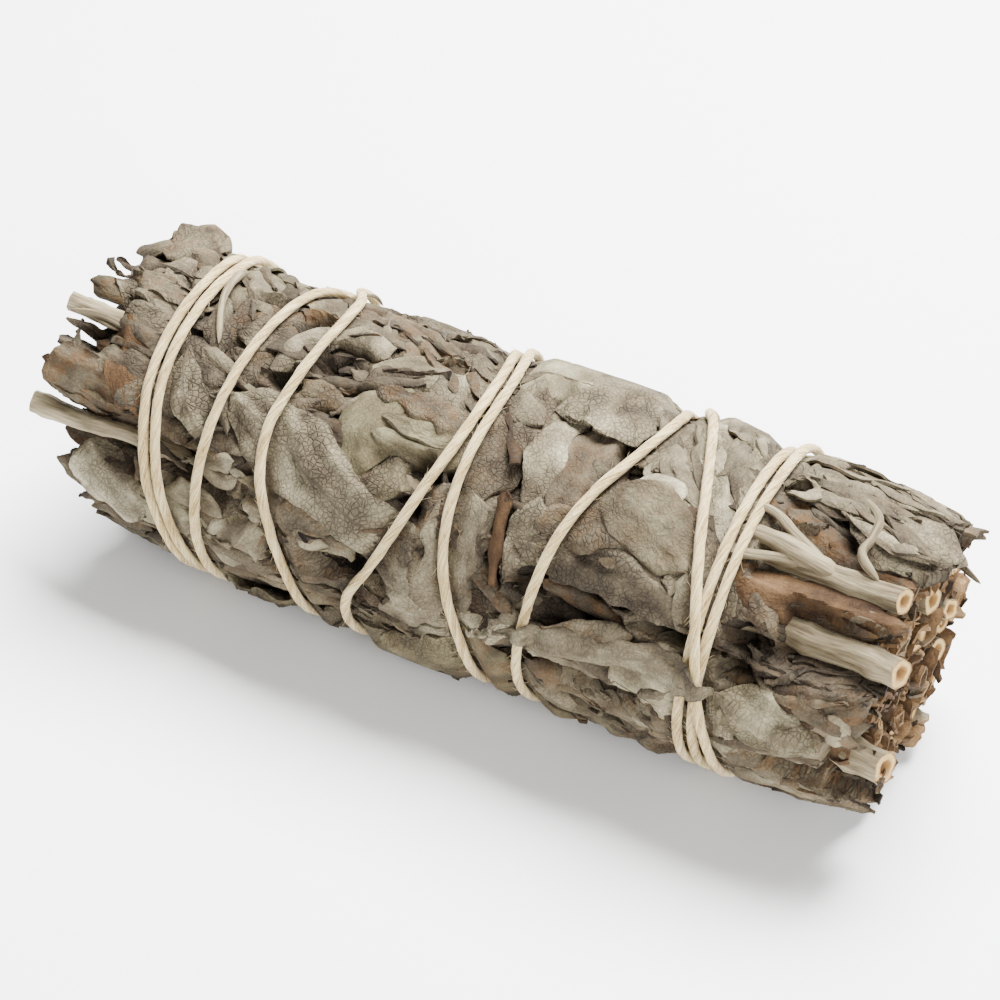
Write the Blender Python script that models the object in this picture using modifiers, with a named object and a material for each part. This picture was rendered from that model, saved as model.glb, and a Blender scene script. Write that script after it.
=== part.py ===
"""A sage smudge stick: dried, leafy sage stems packed in a bundle and bound with one cotton string.

The bundle lies on its side along X, on a surface at z = 0, with its middle over the origin.
A place on it is x along the bundle and a turn round its axis, in degrees: 0 is the top, 90 is the
side towards -Y, 180 is the underside and 270 is the side towards +Y. Tables hold millimetres and
degrees, and every mesh is made in metres.
"""

import math
import random

import bmesh
import bpy
import numpy as np
from mathutils import Matrix, Vector, noise

MM = 0.001

# Driving dimensions
AXIS_HEIGHT = 17.5
CORE_RADIUS = 15.6
CORE_LENGTH = 94.0
BUNDLE_RADIUS = 18.5
LEAF_THICKNESS = 0.8
PACKED_DEPTH = 2.4  # a packed leaf stands for the ones under it down to this depth
STRING_DIAMETER = 1.4
STRING_FROM_AXIS = 18.0
GAP = 0.3
SEED = 11

# The string: x at these turns for each pass down the near side, in the order it was wound
PASS_TURNS = (-45, -30, -15, 0, 15, 30, 45, 60, 75, 90, 105)
STRING_PASSES = (
    (30.4, 31.1, 31.5, 31.8, 32.0, 32.2, 32.3, 32.3, 32.2, 32.0, 31.7),
    (32.1, 32.7, 33.1, 33.4, 33.6, 33.8, 33.9, 33.9, 33.8, 33.7, 33.6),
    (17.4, 18.6, 19.0, 18.6, 17.2, 15.3, 14.1, 13.3, 12.8, 12.2, 11.6),
    (-4.8, -3.2, -1.8, -1.0, -0.9, -1.4, -2.7, -4.2, -6.0, -8.6, -11.0),
    (-27.6, -28.4, -28.6, -28.8, -29.1, -29.5, -29.8, -30.0, -30.1, -30.1, -30.2),
    (-42.0, -40.9, -40.1, -39.7, -39.6, -39.4, -39.0, -38.0, -36.9, -36.2, -34.4),
    (-40.2, -39.2, -38.5, -38.1, -38.0, -37.8, -37.4, -36.4, -35.3, -34.6, -32.8),
    (-26.2, -23.4, -22.2, -22.0, -22.1, -22.5, -23.0, -22.4, -20.6, -19.0, -17.6),
    (-3.2, -1.6, -0.2, 0.6, 0.7, 0.8, 1.0, 1.5, 2.5, 4.0, 5.2),
    (19.6, 22.0, 24.0, 26.0, 27.8, 29.6, 31.4, 33.0, 34.2, 35.2, 36.0),
)
SLANT_FROM = 200  # the string runs straight round the underside, and slants from this turn on
STRAND_STEP = 18
STRAND_CLEARANCE = 0.15
CLIMB = 0.5
GROOVE_ROOM = 0.45
GROOVE_HALF_WIDTH = 1.6
KNOT_TURN = -82
KNOT_X = 33.4
KNOT_SIZE = (4.6, 3.4, 2.8)
KNOT_LIFT = 0.55
TAIL_TURN = 18
TAIL_X = 4.8

# Stems: middle of the cut end, with y and z from the bundle's axis, then length and diameter
STEMS = (
    ((52.0, -5.9, 15.1), 26.0, 2.9),
    ((54.3, -10.9, 9.9), 21.0, 3.6),
    ((54.75, -13.8, -1.6), 20.0, 3.9),
    ((51.4, 5.0, 6.0), 84.0, 3.0),
    ((50.6, 12.0, 4.0), 52.0, 2.8),
    ((50.0, 13.2, -4.8), 44.0, 2.7),
    ((51.2, 9.2, -5.3), 60.0, 2.6),
    ((50.4, 10.0, -10.8), 40.0, 2.8),
    ((50.0, 0.5, -13.8), 34.0, 2.4),
    ((51.6, 10.6, 0.0), 56.0, 2.6),
    ((50.2, 3.4, 1.0), 88.0, 3.1),
    ((50.8, -1.0, -8.0), 72.0, 3.0),
    ((50.2, 5.2, -12.2), 48.0, 2.5),
    ((50.4, -4.6, 5.6), 78.0, 3.0),
    ((50.0, 3.2, 11.6), 62.0, 2.8),
    ((-54.4, -5.6, 14.4), 18.0, 2.4),
    ((-54.8, -14.0, 5.2), 22.0, 2.9),
)
STEM_CONVERGENCE = 0.0024  # how much of its distance from the axis a stem loses in each mm
STEM_SIDES = 8

# Large leaves that lie outermost, tucked under the string: start and end (x, turn), width, bow
OUTER_LEAVES = (
    ((-27.0, 34), (-2.5, 70), 10.5, 0.0),
    ((-36.4, 26), (-31.2, 56), 5.6, -1.0),
    ((-47.5, 78), (-37.0, 100), 7.5, 0.0),
    ((13.5, -44), (12.8, 2), 9.0, 0.0),
    ((4.2, 42), (2.4, 88), 7.5, 0.0),
    ((16.4, 20), (30.0, 42), 8.0, 0.0),
    ((9.5, 86), (35.0, 75), 5.0, -1.2),
    ((36.6, 78), (48.0, 88), 8.5, 0.0),
    ((-42.0, 232), (-20.0, 262), 10.5, 0.0),
    ((-15.0, 292), (4.0, 262), 10.0, 0.0),
    ((10.0, 222), (29.0, 258), 10.5, 0.0),
)

# Blades of the packed leaves on the near side, in the same form
NEAR_BLADES = (
    ((-52.5, 8), (-40.0, 12), 6.0, 0.0),
    ((-53.0, 50), (-36.0, 54), 7.5, 0.0),
    ((-47.0, -30), (-36.0, -20), 8.0, 1.0),
    ((-49.0, -10), (-38.0, 2), 7.0, 0.0),
    ((-44.0, 62), (-27.0, 72), 5.0, 0.0),
    ((-33.0, -12), (-30.0, 24), 7.0, 0.0),
    ((-36.0, 92), (-24.0, 98), 8.0, 0.0),
    ((-29.0, 8), (-22.0, 22), 6.0, 0.0),
    ((-27.0, 84), (-5.0, 92), 9.0, 0.0),
    ((-28.0, 97), (-21.0, 80), 7.0, 0.0),
    ((-26.0, 20), (-14.0, 2), 4.5, -4.0),
    ((-22.0, -34), (-7.0, -12), 5.0, 0.0),
    ((-13.0, 36), (-8.0, 12), 5.5, 0.0),
    ((-9.0, 30), (0.0, 16), 5.0, 0.0),
    ((-4.0, -28), (-4.0, 16), 7.5, 0.0),
    ((2.0, -34), (4.0, 2), 8.0, 0.0),
    ((2.0, 4), (3.0, 38), 7.5, 0.0),
    ((8.5, -18), (9.0, 36), 4.5, 0.0),
    ((12.0, 6), (13.0, 36), 6.5, 0.0),
    ((10.0, 36), (11.0, 66), 5.0, 0.0),
    ((-2.0, 90), (8.0, 104), 8.0, 0.0),
    ((11.0, 52), (32.0, 56), 6.0, 0.0),
    ((13.0, 96), (30.0, 100), 7.0, 0.0),
    ((18.0, -34), (28.0, 4), 6.5, 0.0),
    ((24.0, -44), (33.0, -18), 6.0, 0.0),
    ((29.0, 30), (36.0, 52), 6.5, 0.0),
    ((33.0, 4), (48.0, 12), 5.0, 0.0),
    ((33.0, -30), (41.0, -6), 6.5, 0.0),
    ((38.0, -40), (51.0, -30), 6.0, 0.0),
    ((41.0, -14), (52.5, 2), 6.0, 0.0),
    ((35.0, 32), (50.0, 38), 7.0, 0.0),
    ((37.0, 64), (50.0, 60), 5.0, 0.0),
    ((36.0, 100), (51.0, 106), 7.0, 0.0),
)

# The far side and the underside are covered by rule: rows round the bundle, blades along each row
FAR_FIRST_TURN = 118
FAR_LAST_TURN = 312
FAR_ROWS = 6
FAR_COLUMNS = 4
FAR_BLADE_LENGTH = (22.0, 30.0)
FAR_BLADE_WIDTH = (11.0, 13.5)

# Blades that stick out of each end between the stems, in a spiral like the seeds of a sunflower
END_BLADES = 7
END_BLADE_WIDTH = 5.5
END_SPREAD = 13.5
SPIRAL_TURN = 137.5

# The leaves pressed flat by the surface fill the underside out to this far from the axis
FLAT_RADIUS = 18.3
FLAT_HALF_TURN = 24.0


def place(x, turn, radius):
    """Points of the bundle at x, a turn and a distance from its axis, in metres."""
    angle = np.radians(turn)
    across = -radius * np.sin(angle)
    up = AXIS_HEIGHT + radius * np.cos(angle)
    return np.stack(np.broadcast_arrays(x, across, up), axis=-1) * MM


def rough(x, turn, size, seed=0.0):
    """Smooth noise from -1 to 1 over the bundle's surface, with lumps of about this size in mm."""
    angle = math.radians(turn)
    around = CORE_RADIUS / size
    return noise.noise(Vector((x / size + seed, around * math.cos(angle), around * math.sin(angle))))


def core_radius(x, turn):
    """The packed core's surface: lumpy, with folds that run along it, and drawn in at both ends."""
    lumps = 0.45 * rough(x, turn, 9.0)
    folds = 0.4 * rough(x * 0.3, turn, 2.6, seed=7.0)
    end = max(0.0, abs(x) - 0.36 * CORE_LENGTH) / (0.14 * CORE_LENGTH)
    from_underside = abs((turn % 360.0) - 180.0) / FLAT_HALF_TURN
    flat = min(1.0, max(0.0, 2.0 - 2.0 * from_underside))
    return CORE_RADIUS + (lumps + folds) * (1.0 - flat) + (FLAT_RADIUS - CORE_RADIUS) * flat - 1.2 * end * end


class Surface:
    """How far something is from the bundle's axis, in mm, on a grid of x and turn."""

    step_x = 1.0
    step_turn = 3.0
    half_length = 60.0

    def __init__(self, height):
        self.x = np.arange(-self.half_length, self.half_length + 0.1, self.step_x)
        self.turn = np.arange(0.0, 360.0, self.step_turn)
        self.height = np.array([[height(x, t) for t in self.turn] for x in self.x])

    def at(self, x, turn):
        column = np.clip((x + self.half_length) / self.step_x, 0, len(self.x) - 1.001)
        row = (turn % 360.0) / self.step_turn
        i, j = column.astype(int), row.astype(int)
        u, v = column - i, row - j
        j, after = j % len(self.turn), (j + 1) % len(self.turn)
        low = self.height[i, j] * (1 - v) + self.height[i, after] * v
        high = self.height[i + 1, j] * (1 - v) + self.height[i + 1, after] * v
        return low * (1 - u) + high * u

    def felt(self, cells=2):
        """The surface as a stiff leaf feels it: halfway from its nearby mean to its nearby top."""
        reach = range(-cells, cells + 1)
        padded = np.pad(self.height, ((cells, cells), (0, 0)), mode="edge")
        rows = len(self.x)
        shifted = [np.roll(padded[cells + i : cells + i + rows], j, axis=1) for i in reach for j in reach]
        stiff = Surface(lambda x, turn: 0.0)
        stiff.height = 0.5 * np.max(shifted, axis=0) + 0.5 * np.mean(shifted, axis=0)
        return stiff

    def cells(self, x, turn):
        i = np.clip(np.rint((x + self.half_length) / self.step_x).astype(int), 0, len(self.x) - 1)
        j = np.rint((turn % 360.0) / self.step_turn).astype(int) % len(self.turn)
        return i, j

    def raise_to(self, x, turn, radius):
        np.maximum.at(self.height, self.cells(x, turn), radius)

    def lower_to(self, x, turn, radius):
        np.minimum.at(self.height, self.cells(x, turn), radius)

    def lower_under_string(self, route):
        """Draws the surface in along the string, with a slope out to either side."""
        x, turn = np.meshgrid(self.x, self.turn, indexing="ij")
        for x_string, total, from_axis in route:
            around = (turn - total + 180.0) % 360.0 - 180.0
            apart = np.hypot(x - x_string, np.radians(around) * from_axis)
            under = from_axis - STRING_DIAMETER / 2 - GAP - GROOVE_ROOM
            near = under + np.maximum(apart - GROOVE_HALF_WIDTH, 0.0) * 0.9
            self.height = np.minimum(self.height, near)


def new_object(name, mesh, colour, roughness, collection):
    """An object with a material of its own, in the named collection."""
    material = bpy.data.materials.new(name)
    material.use_nodes = True
    shader = material.node_tree.nodes["Principled BSDF"]
    shader.inputs["Base Color"].default_value = (*colour, 1.0)
    shader.inputs["Roughness"].default_value = roughness
    shader.inputs["Metallic"].default_value = 0.0
    mesh.materials.append(material)
    made = bpy.data.objects.new(name, mesh)
    collection.objects.link(made)
    return made


def new_collection(name):
    made = bpy.data.collections.new(name)
    bpy.context.scene.collection.children.link(made)
    return made


def mesh_of(name, shape):
    """Ends a bmesh and returns it as a mesh."""
    mesh = bpy.data.meshes.new(name)
    shape.to_mesh(mesh)
    shape.free()
    return mesh


def applied(obj, weld=0.0):
    """Replaces an object by the mesh that its modifiers or its curve make, in triangles."""
    bpy.context.view_layer.update()
    graph = bpy.context.evaluated_depsgraph_get()
    mesh = bpy.data.meshes.new_from_object(obj.evaluated_get(graph))
    shape = bmesh.new()
    shape.from_mesh(mesh)
    bmesh.ops.remove_doubles(shape, verts=shape.verts, dist=weld)
    bmesh.ops.triangulate(shape, faces=shape.faces)
    shape.to_mesh(mesh)
    shape.free()
    name = obj.name
    made = bpy.data.objects.new(name + "_made", mesh)
    for collection in obj.users_collection:
        collection.objects.link(made)
    bpy.data.objects.remove(obj)
    made.name = name
    return made


def boolean(obj, operation, others):
    """Adds a Boolean with one object or a whole collection to obj."""
    modifier = obj.modifiers.new(operation.lower(), "BOOLEAN")
    modifier.operation = operation
    modifier.solver = "MANIFOLD"
    if isinstance(others, bpy.types.Collection):
        modifier.operand_type = "COLLECTION"
        modifier.collection = others
    else:
        modifier.object = others


def keep_largest_body(obj):
    """Drops the loose scraps that cutting leaves, and fills the hollows that joining seals."""
    shape = bmesh.new()
    shape.from_mesh(obj.data)
    left = set(shape.verts)
    bodies = []
    while left:
        body, front = set(), [left.pop()]
        while front:
            vertex = front.pop()
            body.add(vertex)
            fresh = [e.other_vert(vertex) for e in vertex.link_edges if e.other_vert(vertex) in left]
            left.difference_update(fresh)
            front.extend(fresh)
        bodies.append(body)
    bodies.sort(key=len)
    scraps = [v for body in bodies[:-1] for v in body]
    bmesh.ops.delete(shape, geom=scraps, context="VERTS")
    shape.to_mesh(obj.data)
    shape.free()


def blade_stations(start, end, along, ceiling):
    """Where along a blade its points stand: evenly, but one on each place that a string presses."""
    s = np.linspace(0.0, 1.0, along + 1)
    fine = np.linspace(0.0, 1.0, 61)
    x = start[0] + fine * (end[0] - start[0])
    turn = start[1] + fine * (end[1] - start[1])
    limit = ceiling.at(x, turn)
    for i in range(4, 57):
        near = limit[i - 4 : i + 5]
        pressed = limit[i] == near.min() and near.max() - limit[i] > 0.5
        if pressed:
            nearest = 1 + int(np.argmin(np.abs(s[1:-1] - fine[i])))
            s[nearest] = fine[i]
    return np.sort(s)


def blade_grid(blade, stations, across, margin=0.0):
    """x, turn and place across (-1 to 1) of each point of a leaf blade with a notched margin."""
    start, end, width, bow = blade
    degree = math.radians(1.0) * BUNDLE_RADIUS
    run = np.array([end[0] - start[0], (end[1] - start[1]) * degree])
    length = float(np.hypot(*run))
    ahead = run / length
    aside = np.array([-ahead[1], ahead[0]])
    s = stations[:, None]
    t = np.linspace(-1.0, 1.0, across + 1)[None, :]
    outline = np.maximum(np.sin(np.pi * s**0.8) ** 0.75, 0.22)
    notches = 1.0 - 0.1 * (np.arange(len(stations))[:, None] % 2)
    sideways = (0.5 * width * outline * notches + margin) * t + bow * np.sin(np.pi * s)
    lengthwise = s * (length + 2 * margin) - margin
    x = start[0] + lengthwise * ahead[0] + sideways * aside[0]
    turn = start[1] + (lengthwise * ahead[1] + sideways * aside[1]) / degree
    return x, turn, t + 0 * s


def sheet(name, points):
    """An open triangulated sheet through a grid of points."""
    along, across = points.shape[0] - 1, points.shape[1] - 1
    shape = bmesh.new()
    bmesh.ops.create_grid(shape, x_segments=along, y_segments=across, size=1.0)
    for vertex in shape.verts:
        i = round((vertex.co.x + 1.0) / 2.0 * along)
        j = round((vertex.co.y + 1.0) / 2.0 * across)
        vertex.co = points[i, j]
    bmesh.ops.triangulate(shape, faces=shape.faces)
    axis = Vector((0.0, 0.0, AXIS_HEIGHT * MM))
    shape.normal_update()
    outward = sum(f.normal.yz.dot((f.calc_center_median() - axis).yz) for f in shape.faces)
    if outward < 0.0:
        bmesh.ops.reverse_faces(shape, faces=shape.faces)
    return mesh_of(name, shape)


def thickened(obj, thickness):
    solidify = obj.modifiers.new("thickness", "SOLIDIFY")
    solidify.thickness = thickness * MM
    solidify.offset = 0.0


def deepened(obj):
    """Thickens a packed blade inwards: deep over the core, and as thin as a leaf past its ends."""
    group = obj.vertex_groups.new(name="depth")
    for vertex in obj.data.vertices:
        past_core = abs(vertex.co.x) / MM - 0.5 * CORE_LENGTH + 2.0
        group.add([vertex.index], min(1.0, max(0.0, 1.0 - past_core / 2.0)), "REPLACE")
    solidify = obj.modifiers.new("depth", "SOLIDIFY")
    solidify.thickness = PACKED_DEPTH * MM
    solidify.offset = -1.0
    solidify.vertex_group = group.name
    solidify.thickness_vertex_group = LEAF_THICKNESS / PACKED_DEPTH


def finer(values, rows=41, columns=17):
    """A grid of values read at more points."""
    by_row = np.linspace(0, values.shape[0] - 1, rows)
    by_column = np.linspace(0, values.shape[1] - 1, columns)
    tall = np.array([np.interp(by_row, np.arange(values.shape[0]), line) for line in values.T]).T
    return np.array([np.interp(by_column, np.arange(values.shape[1]), line) for line in tall])


def string_route():
    """The taut string in mm, as rows of x, total turn and distance from the bundle's axis.

    It goes round the bundle, and the surface that the bundle lies on presses it in from below.
    """
    turns = [KNOT_TURN - TAIL_TURN, KNOT_TURN]
    xs = [KNOT_X + TAIL_X, KNOT_X]
    following = [*(across[0] for across in STRING_PASSES[1:]), KNOT_X]
    for number, across in enumerate(STRING_PASSES):
        turns += [turn + 360 * number for turn in PASS_TURNS]
        xs += list(across)
        for turn in range(120, 301, 15):
            share = min(1.0, max(0.0, (turn - SLANT_FROM) / (315 - SLANT_FROM)))
            eased = share * share * (3 - 2 * share)
            before_knot = number < len(STRING_PASSES) - 1 or turn < 360 + KNOT_TURN
            if before_knot:
                turns.append(turn + 360 * number)
                xs.append(across[-1] + eased * (following[number] - across[-1]))
    last = 360 * len(STRING_PASSES) + KNOT_TURN
    turns += [last, last + TAIL_TURN]
    xs += [KNOT_X + 0.6, KNOT_X + TAIL_X]
    total = np.arange(turns[0], turns[-1] + 0.1, STRAND_STEP)
    x = np.interp(total, turns, xs)
    radius = roll_over(x, total)
    lowest = AXIS_HEIGHT - STRING_DIAMETER / 2 - STRAND_CLEARANCE
    down = np.maximum(-np.cos(np.radians(total)), 0.1)
    return np.column_stack([x, total, np.minimum(radius, lowest / down)])


def roll_over(x, total):
    """Distance from the axis of each point: a strand climbs over the earlier ones that it crosses."""
    least = STRING_DIAMETER + STRAND_CLEARANCE
    radius = np.full(len(x), STRING_FROM_AXIS)
    for i in range(len(x)):
        for rounds in range(1, len(STRING_PASSES) + 1):
            earlier = total[i] - 360.0 * rounds
            if earlier < total[0]:
                break
            beside = abs(np.interp(earlier, total[:i], x[:i]) - x[i])
            under = np.interp(earlier, total[:i], radius[:i])
            if beside < least:
                radius[i] = max(radius[i], under + math.sqrt(least**2 - beside**2))
    eased = radius.copy()
    for step in (1, 2):
        fall = CLIMB * step
        eased[step:] = np.maximum(eased[step:], radius[:-step] - fall)
        eased[:-step] = np.maximum(eased[:-step], radius[step:] - fall)
    return eased


def dense(route):
    """The string's route with points close enough together to press a leaf."""
    steps = np.linspace(0, len(route) - 1, 8 * len(route))
    return np.column_stack([np.interp(steps, np.arange(len(route)), column) for column in route.T])


def make_string(collection, name, extra=0.0):
    """The whole binding: one string wound up and back, and its knot. extra makes it a cutter."""
    route = string_route()
    points = place(route[:, 0], route[:, 1], route[:, 2])

    curve = bpy.data.curves.new(name, "CURVE")
    curve.dimensions = "3D"
    six_sided = 2 / math.sqrt(3)  # from the middle of a side to a corner
    curve.bevel_depth = (STRING_DIAMETER / 2 + extra) * (six_sided if extra else 1.0) * MM
    curve.bevel_resolution = 1 if extra else 2
    curve.use_fill_caps = True
    spline = curve.splines.new("POLY")
    spline.points.add(len(points) - 1)
    for point, where in zip(spline.points, points):
        point.co = (*where, 1.0)
    made = applied(new_object(name, curve, (0.77, 0.66, 0.45), 0.85, collection), weld=0.001 * MM)

    shape = bmesh.new()
    bmesh.ops.create_icosphere(shape, subdivisions=1, radius=0.5 * MM)
    size = Matrix.Diagonal([*(side + 2 * extra for side in KNOT_SIZE), 1.0])
    turned = Matrix.Rotation(math.radians(KNOT_TURN), 4, "X")
    where = Vector(place(KNOT_X, KNOT_TURN, STRING_FROM_AXIS + KNOT_LIFT))
    bmesh.ops.transform(shape, matrix=Matrix.Translation(where) @ turned @ size, verts=shape.verts)
    knot = bpy.data.objects.new("knot", mesh_of("knot", shape))
    collection.objects.link(knot)
    boolean(made, "UNION", knot)
    made = applied(made)
    bpy.data.objects.remove(knot)
    keep_largest_body(made)
    return made


def make_stem(collection, name, stem, extra=0.0):
    """A straight woody stem, a little thicker at its cut end. extra makes it a cutter for its hole."""
    (x, y, z), length, diameter = stem
    nearer = 1.0 - STEM_CONVERGENCE * length
    cut = Vector((x, y, AXIS_HEIGHT + z)) * MM
    buried = Vector((x - math.copysign(length, x), y * nearer, AXIS_HEIGHT + z * nearer)) * MM
    reach = (cut - buried).normalized() * (extra * MM)
    cut, buried = cut + reach * 8, buried - reach
    shape = bmesh.new()
    bmesh.ops.create_cone(
        shape,
        cap_ends=True,
        segments=STEM_SIDES,
        radius1=(diameter * 0.46 + extra) * MM,
        radius2=(diameter * 0.5 + extra) * MM,
        depth=(cut - buried).length,
    )
    aim = (cut - buried).to_track_quat("Z", "Y").to_matrix().to_4x4()
    bmesh.ops.transform(shape, matrix=Matrix.Translation((cut + buried) / 2) @ aim, verts=shape.verts)
    return new_object(name, mesh_of(name, shape), (0.47, 0.4, 0.27), 0.8, collection)


def make_core(collection, ceiling):
    """The inner leaves as one lumpy body: a cylinder whose points stand at the core's radius."""
    rings, sides = 14, 26
    shape = bmesh.new()
    bmesh.ops.create_cone(shape, cap_ends=True, segments=sides, radius1=1.0, radius2=1.0, depth=CORE_LENGTH)
    lengthwise = [e for e in shape.edges if abs(e.verts[0].co.z - e.verts[1].co.z) > 1.0]
    bmesh.ops.subdivide_edges(shape, edges=lengthwise, cuts=rings - 1)
    bmesh.ops.triangulate(shape, faces=shape.faces)
    for vertex in shape.verts:
        x = vertex.co.z
        turn = math.degrees(math.atan2(vertex.co.y, vertex.co.x)) + 0.4
        radius = min(core_radius(x, turn), float(ceiling.at(np.array(x), np.array(turn))))
        vertex.co = place(x + 0.8 * rough(x, turn, 4.0, seed=3.0), turn, radius)
    return new_object("leaf_bundle", mesh_of("leaf_bundle", shape), (0.42, 0.38, 0.27), 0.9, collection)


def far_blades(draw):
    """The blades of the hidden sides: staggered rows, each blade a little turned and moved."""
    blades = []
    spacing = 100.0 / FAR_COLUMNS
    for row in range(FAR_ROWS):
        turn = FAR_FIRST_TURN + (FAR_LAST_TURN - FAR_FIRST_TURN) * row / (FAR_ROWS - 1)
        for column in range(FAR_COLUMNS + row % 2):
            middle = -50.0 + spacing * (column + 0.5 - 0.5 * (row % 2)) + draw.uniform(-2.5, 2.5)
            length = draw.uniform(*FAR_BLADE_LENGTH)
            tilt = draw.uniform(-16.0, 16.0)
            centre = turn + draw.uniform(-5.0, 5.0)
            start = (max(middle - length / 2, -52.0), centre - tilt)
            end = (min(middle + length / 2, 52.0), centre + tilt)
            if end[0] - start[0] > 10.0:
                blades.append((start, end, draw.uniform(*FAR_BLADE_WIDTH), draw.uniform(-1.2, 1.2)))
    return blades


def end_blade(number, side, draw):
    """Points of one short blade that stands out of an end of the bundle: -1 left, 1 right."""
    from_axis = END_SPREAD * math.sqrt((number + 0.5) / END_BLADES)
    angle = math.radians(SPIRAL_TURN * number + 40.0 * side)
    across = math.radians(draw.uniform(0.0, 180.0))
    reach = draw.uniform(49.0, 52.5)
    points = np.empty((3, 3, 3))
    for i, x in enumerate((43.0, 0.5 * (47.0 + reach), reach)):
        half = END_BLADE_WIDTH * (0.5, 0.5, 0.32)[i]
        for j in range(3):
            curl = (0.9, 0.0, 0.9)[j] * (0.2, 0.6, 1.0)[i]
            y = from_axis * math.cos(angle) + half * (j - 1) * math.cos(across) - curl * math.sin(across)
            z = from_axis * math.sin(angle) + half * (j - 1) * math.sin(across) + curl * math.cos(across)
            points[i, j] = (side * x, y, AXIS_HEIGHT + z)
    return points * MM


def make_leaves(nodes, blades, cutters, ceiling, draw):
    """The large outer leaves with the cutters that seat them, and the packed blades."""
    leaves = []
    for number, leaf in enumerate(OUTER_LEAVES, start=1):
        name = f"outer_leaf_{number:02d}"
        stations = blade_stations(*leaf[:2], 8, ceiling)
        x, turn, t = blade_grid(leaf, stations, 3)
        wave = 0.35 * np.sin(5.0 * stations[:, None] + number) * t**2
        radius = np.minimum(BUNDLE_RADIUS - 0.5 + wave, ceiling.at(x, turn) - LEAF_THICKNESS / 2)
        made = new_object(name, sheet(name, place(x, turn, radius)), (0.5, 0.46, 0.33), 0.9, nodes)
        thickened(made, LEAF_THICKNESS)
        leaves.append(made)
        around_x, around_turn, _ = blade_grid(leaf, stations, 3, margin=0.45)
        seat = bpy.data.objects.new(f"seat_{number:02d}", sheet(name, place(around_x, around_turn, radius)))
        cutters.objects.link(seat)
        thickened(seat, LEAF_THICKNESS + 2 * GAP)
        under = finer(radius) - LEAF_THICKNESS / 2 - GAP - 0.1
        ceiling.lower_to(finer(around_x), finer(around_turn), under)

    relief = Surface(core_radius)
    relief.height = np.minimum(relief.height, ceiling.height)
    for number, blade in enumerate([*far_blades(draw), *NEAR_BLADES]):
        name = f"blade_{number:02d}"
        stations = blade_stations(*blade[:2], 4 + int(abs(blade[1][0] - blade[0][0]) > 13.0), ceiling)
        x, turn, t = blade_grid(blade, stations, 2)
        wave = 0.45 * np.sin(9.0 * stations[:, None] + draw.uniform(0.0, 6.3) + 1.2 * t) * t**2
        rib = -0.25 * (1.0 - t**2)
        laid = relief.felt().at(x, turn) + LEAF_THICKNESS + wave + rib
        radius = np.minimum(laid, ceiling.at(x, turn))
        made = bpy.data.objects.new(name, sheet(name, place(x, turn, radius)))
        blades.objects.link(made)
        deepened(made)
        relief.raise_to(finer(x), finer(turn), finer(radius))

    for side in (-1, 1):
        for number in range(END_BLADES):
            name = f"end_blade_{side + 1}_{number:02d}"
            made = bpy.data.objects.new(name, sheet(name, end_blade(number, side, draw)))
            blades.objects.link(made)
            thickened(made, LEAF_THICKNESS)
    return leaves


def make_floor_cutter(cutters):
    """What lies under the resting surface, cut off so that the bundle has a flat underside."""
    shape = bmesh.new()
    bmesh.ops.create_cube(shape, size=1.0)
    bmesh.ops.scale(shape, vec=(0.2, 0.1, 0.02), verts=shape.verts)
    bmesh.ops.translate(shape, vec=(0.0, 0.0, -0.01), verts=shape.verts)
    cutters.objects.link(bpy.data.objects.new("under_floor", mesh_of("under_floor", shape)))


def main():
    for old in list(bpy.data.objects):
        bpy.data.objects.remove(old)
    draw = random.Random(SEED)
    nodes = new_collection("smudge_stick")
    blades = new_collection("blades_to_join")
    cutters = new_collection("cutters")

    make_string(nodes, "string")
    string_room = make_string(cutters, "string_room", GAP)
    for number, stem in enumerate(STEMS, start=1):
        make_stem(nodes, f"stem_{number:02d}", stem)
        make_stem(cutters, f"stem_hole_{number:02d}", stem, GAP)

    ceiling = Surface(lambda x, turn: BUNDLE_RADIUS)
    ceiling.lower_under_string(dense(string_route()))
    core = make_core(nodes, ceiling)
    leaves = make_leaves(nodes, blades, cutters, ceiling, draw)
    make_floor_cutter(cutters)

    boolean(core, "UNION", blades)
    core = applied(core)
    for joined in list(blades.objects):
        bpy.data.objects.remove(joined)
    boolean(core, "DIFFERENCE", cutters)
    keep_largest_body(applied(core))
    for leaf in leaves:
        boolean(leaf, "DIFFERENCE", string_room)
        keep_largest_body(applied(leaf))
    for cutter in cutters.objects:
        cutter.hide_render = True
        cutter.display_type = "WIRE"


main()
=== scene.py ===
# %% [markdown]
# # A sage smudge stick
# The real object is a bundle of dried white sage: felted leaves, some flat, some folded and some rolled up,
# packed round their cut woody stems and wound with one cotton string. No two leaves are alike, so one shape
# copied many times would look wrong. Instead each leaf is a sheet of its own. It is laid on what is already
# there, as hands would lay it, and then pressed down where the string crosses it.

import math

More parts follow.
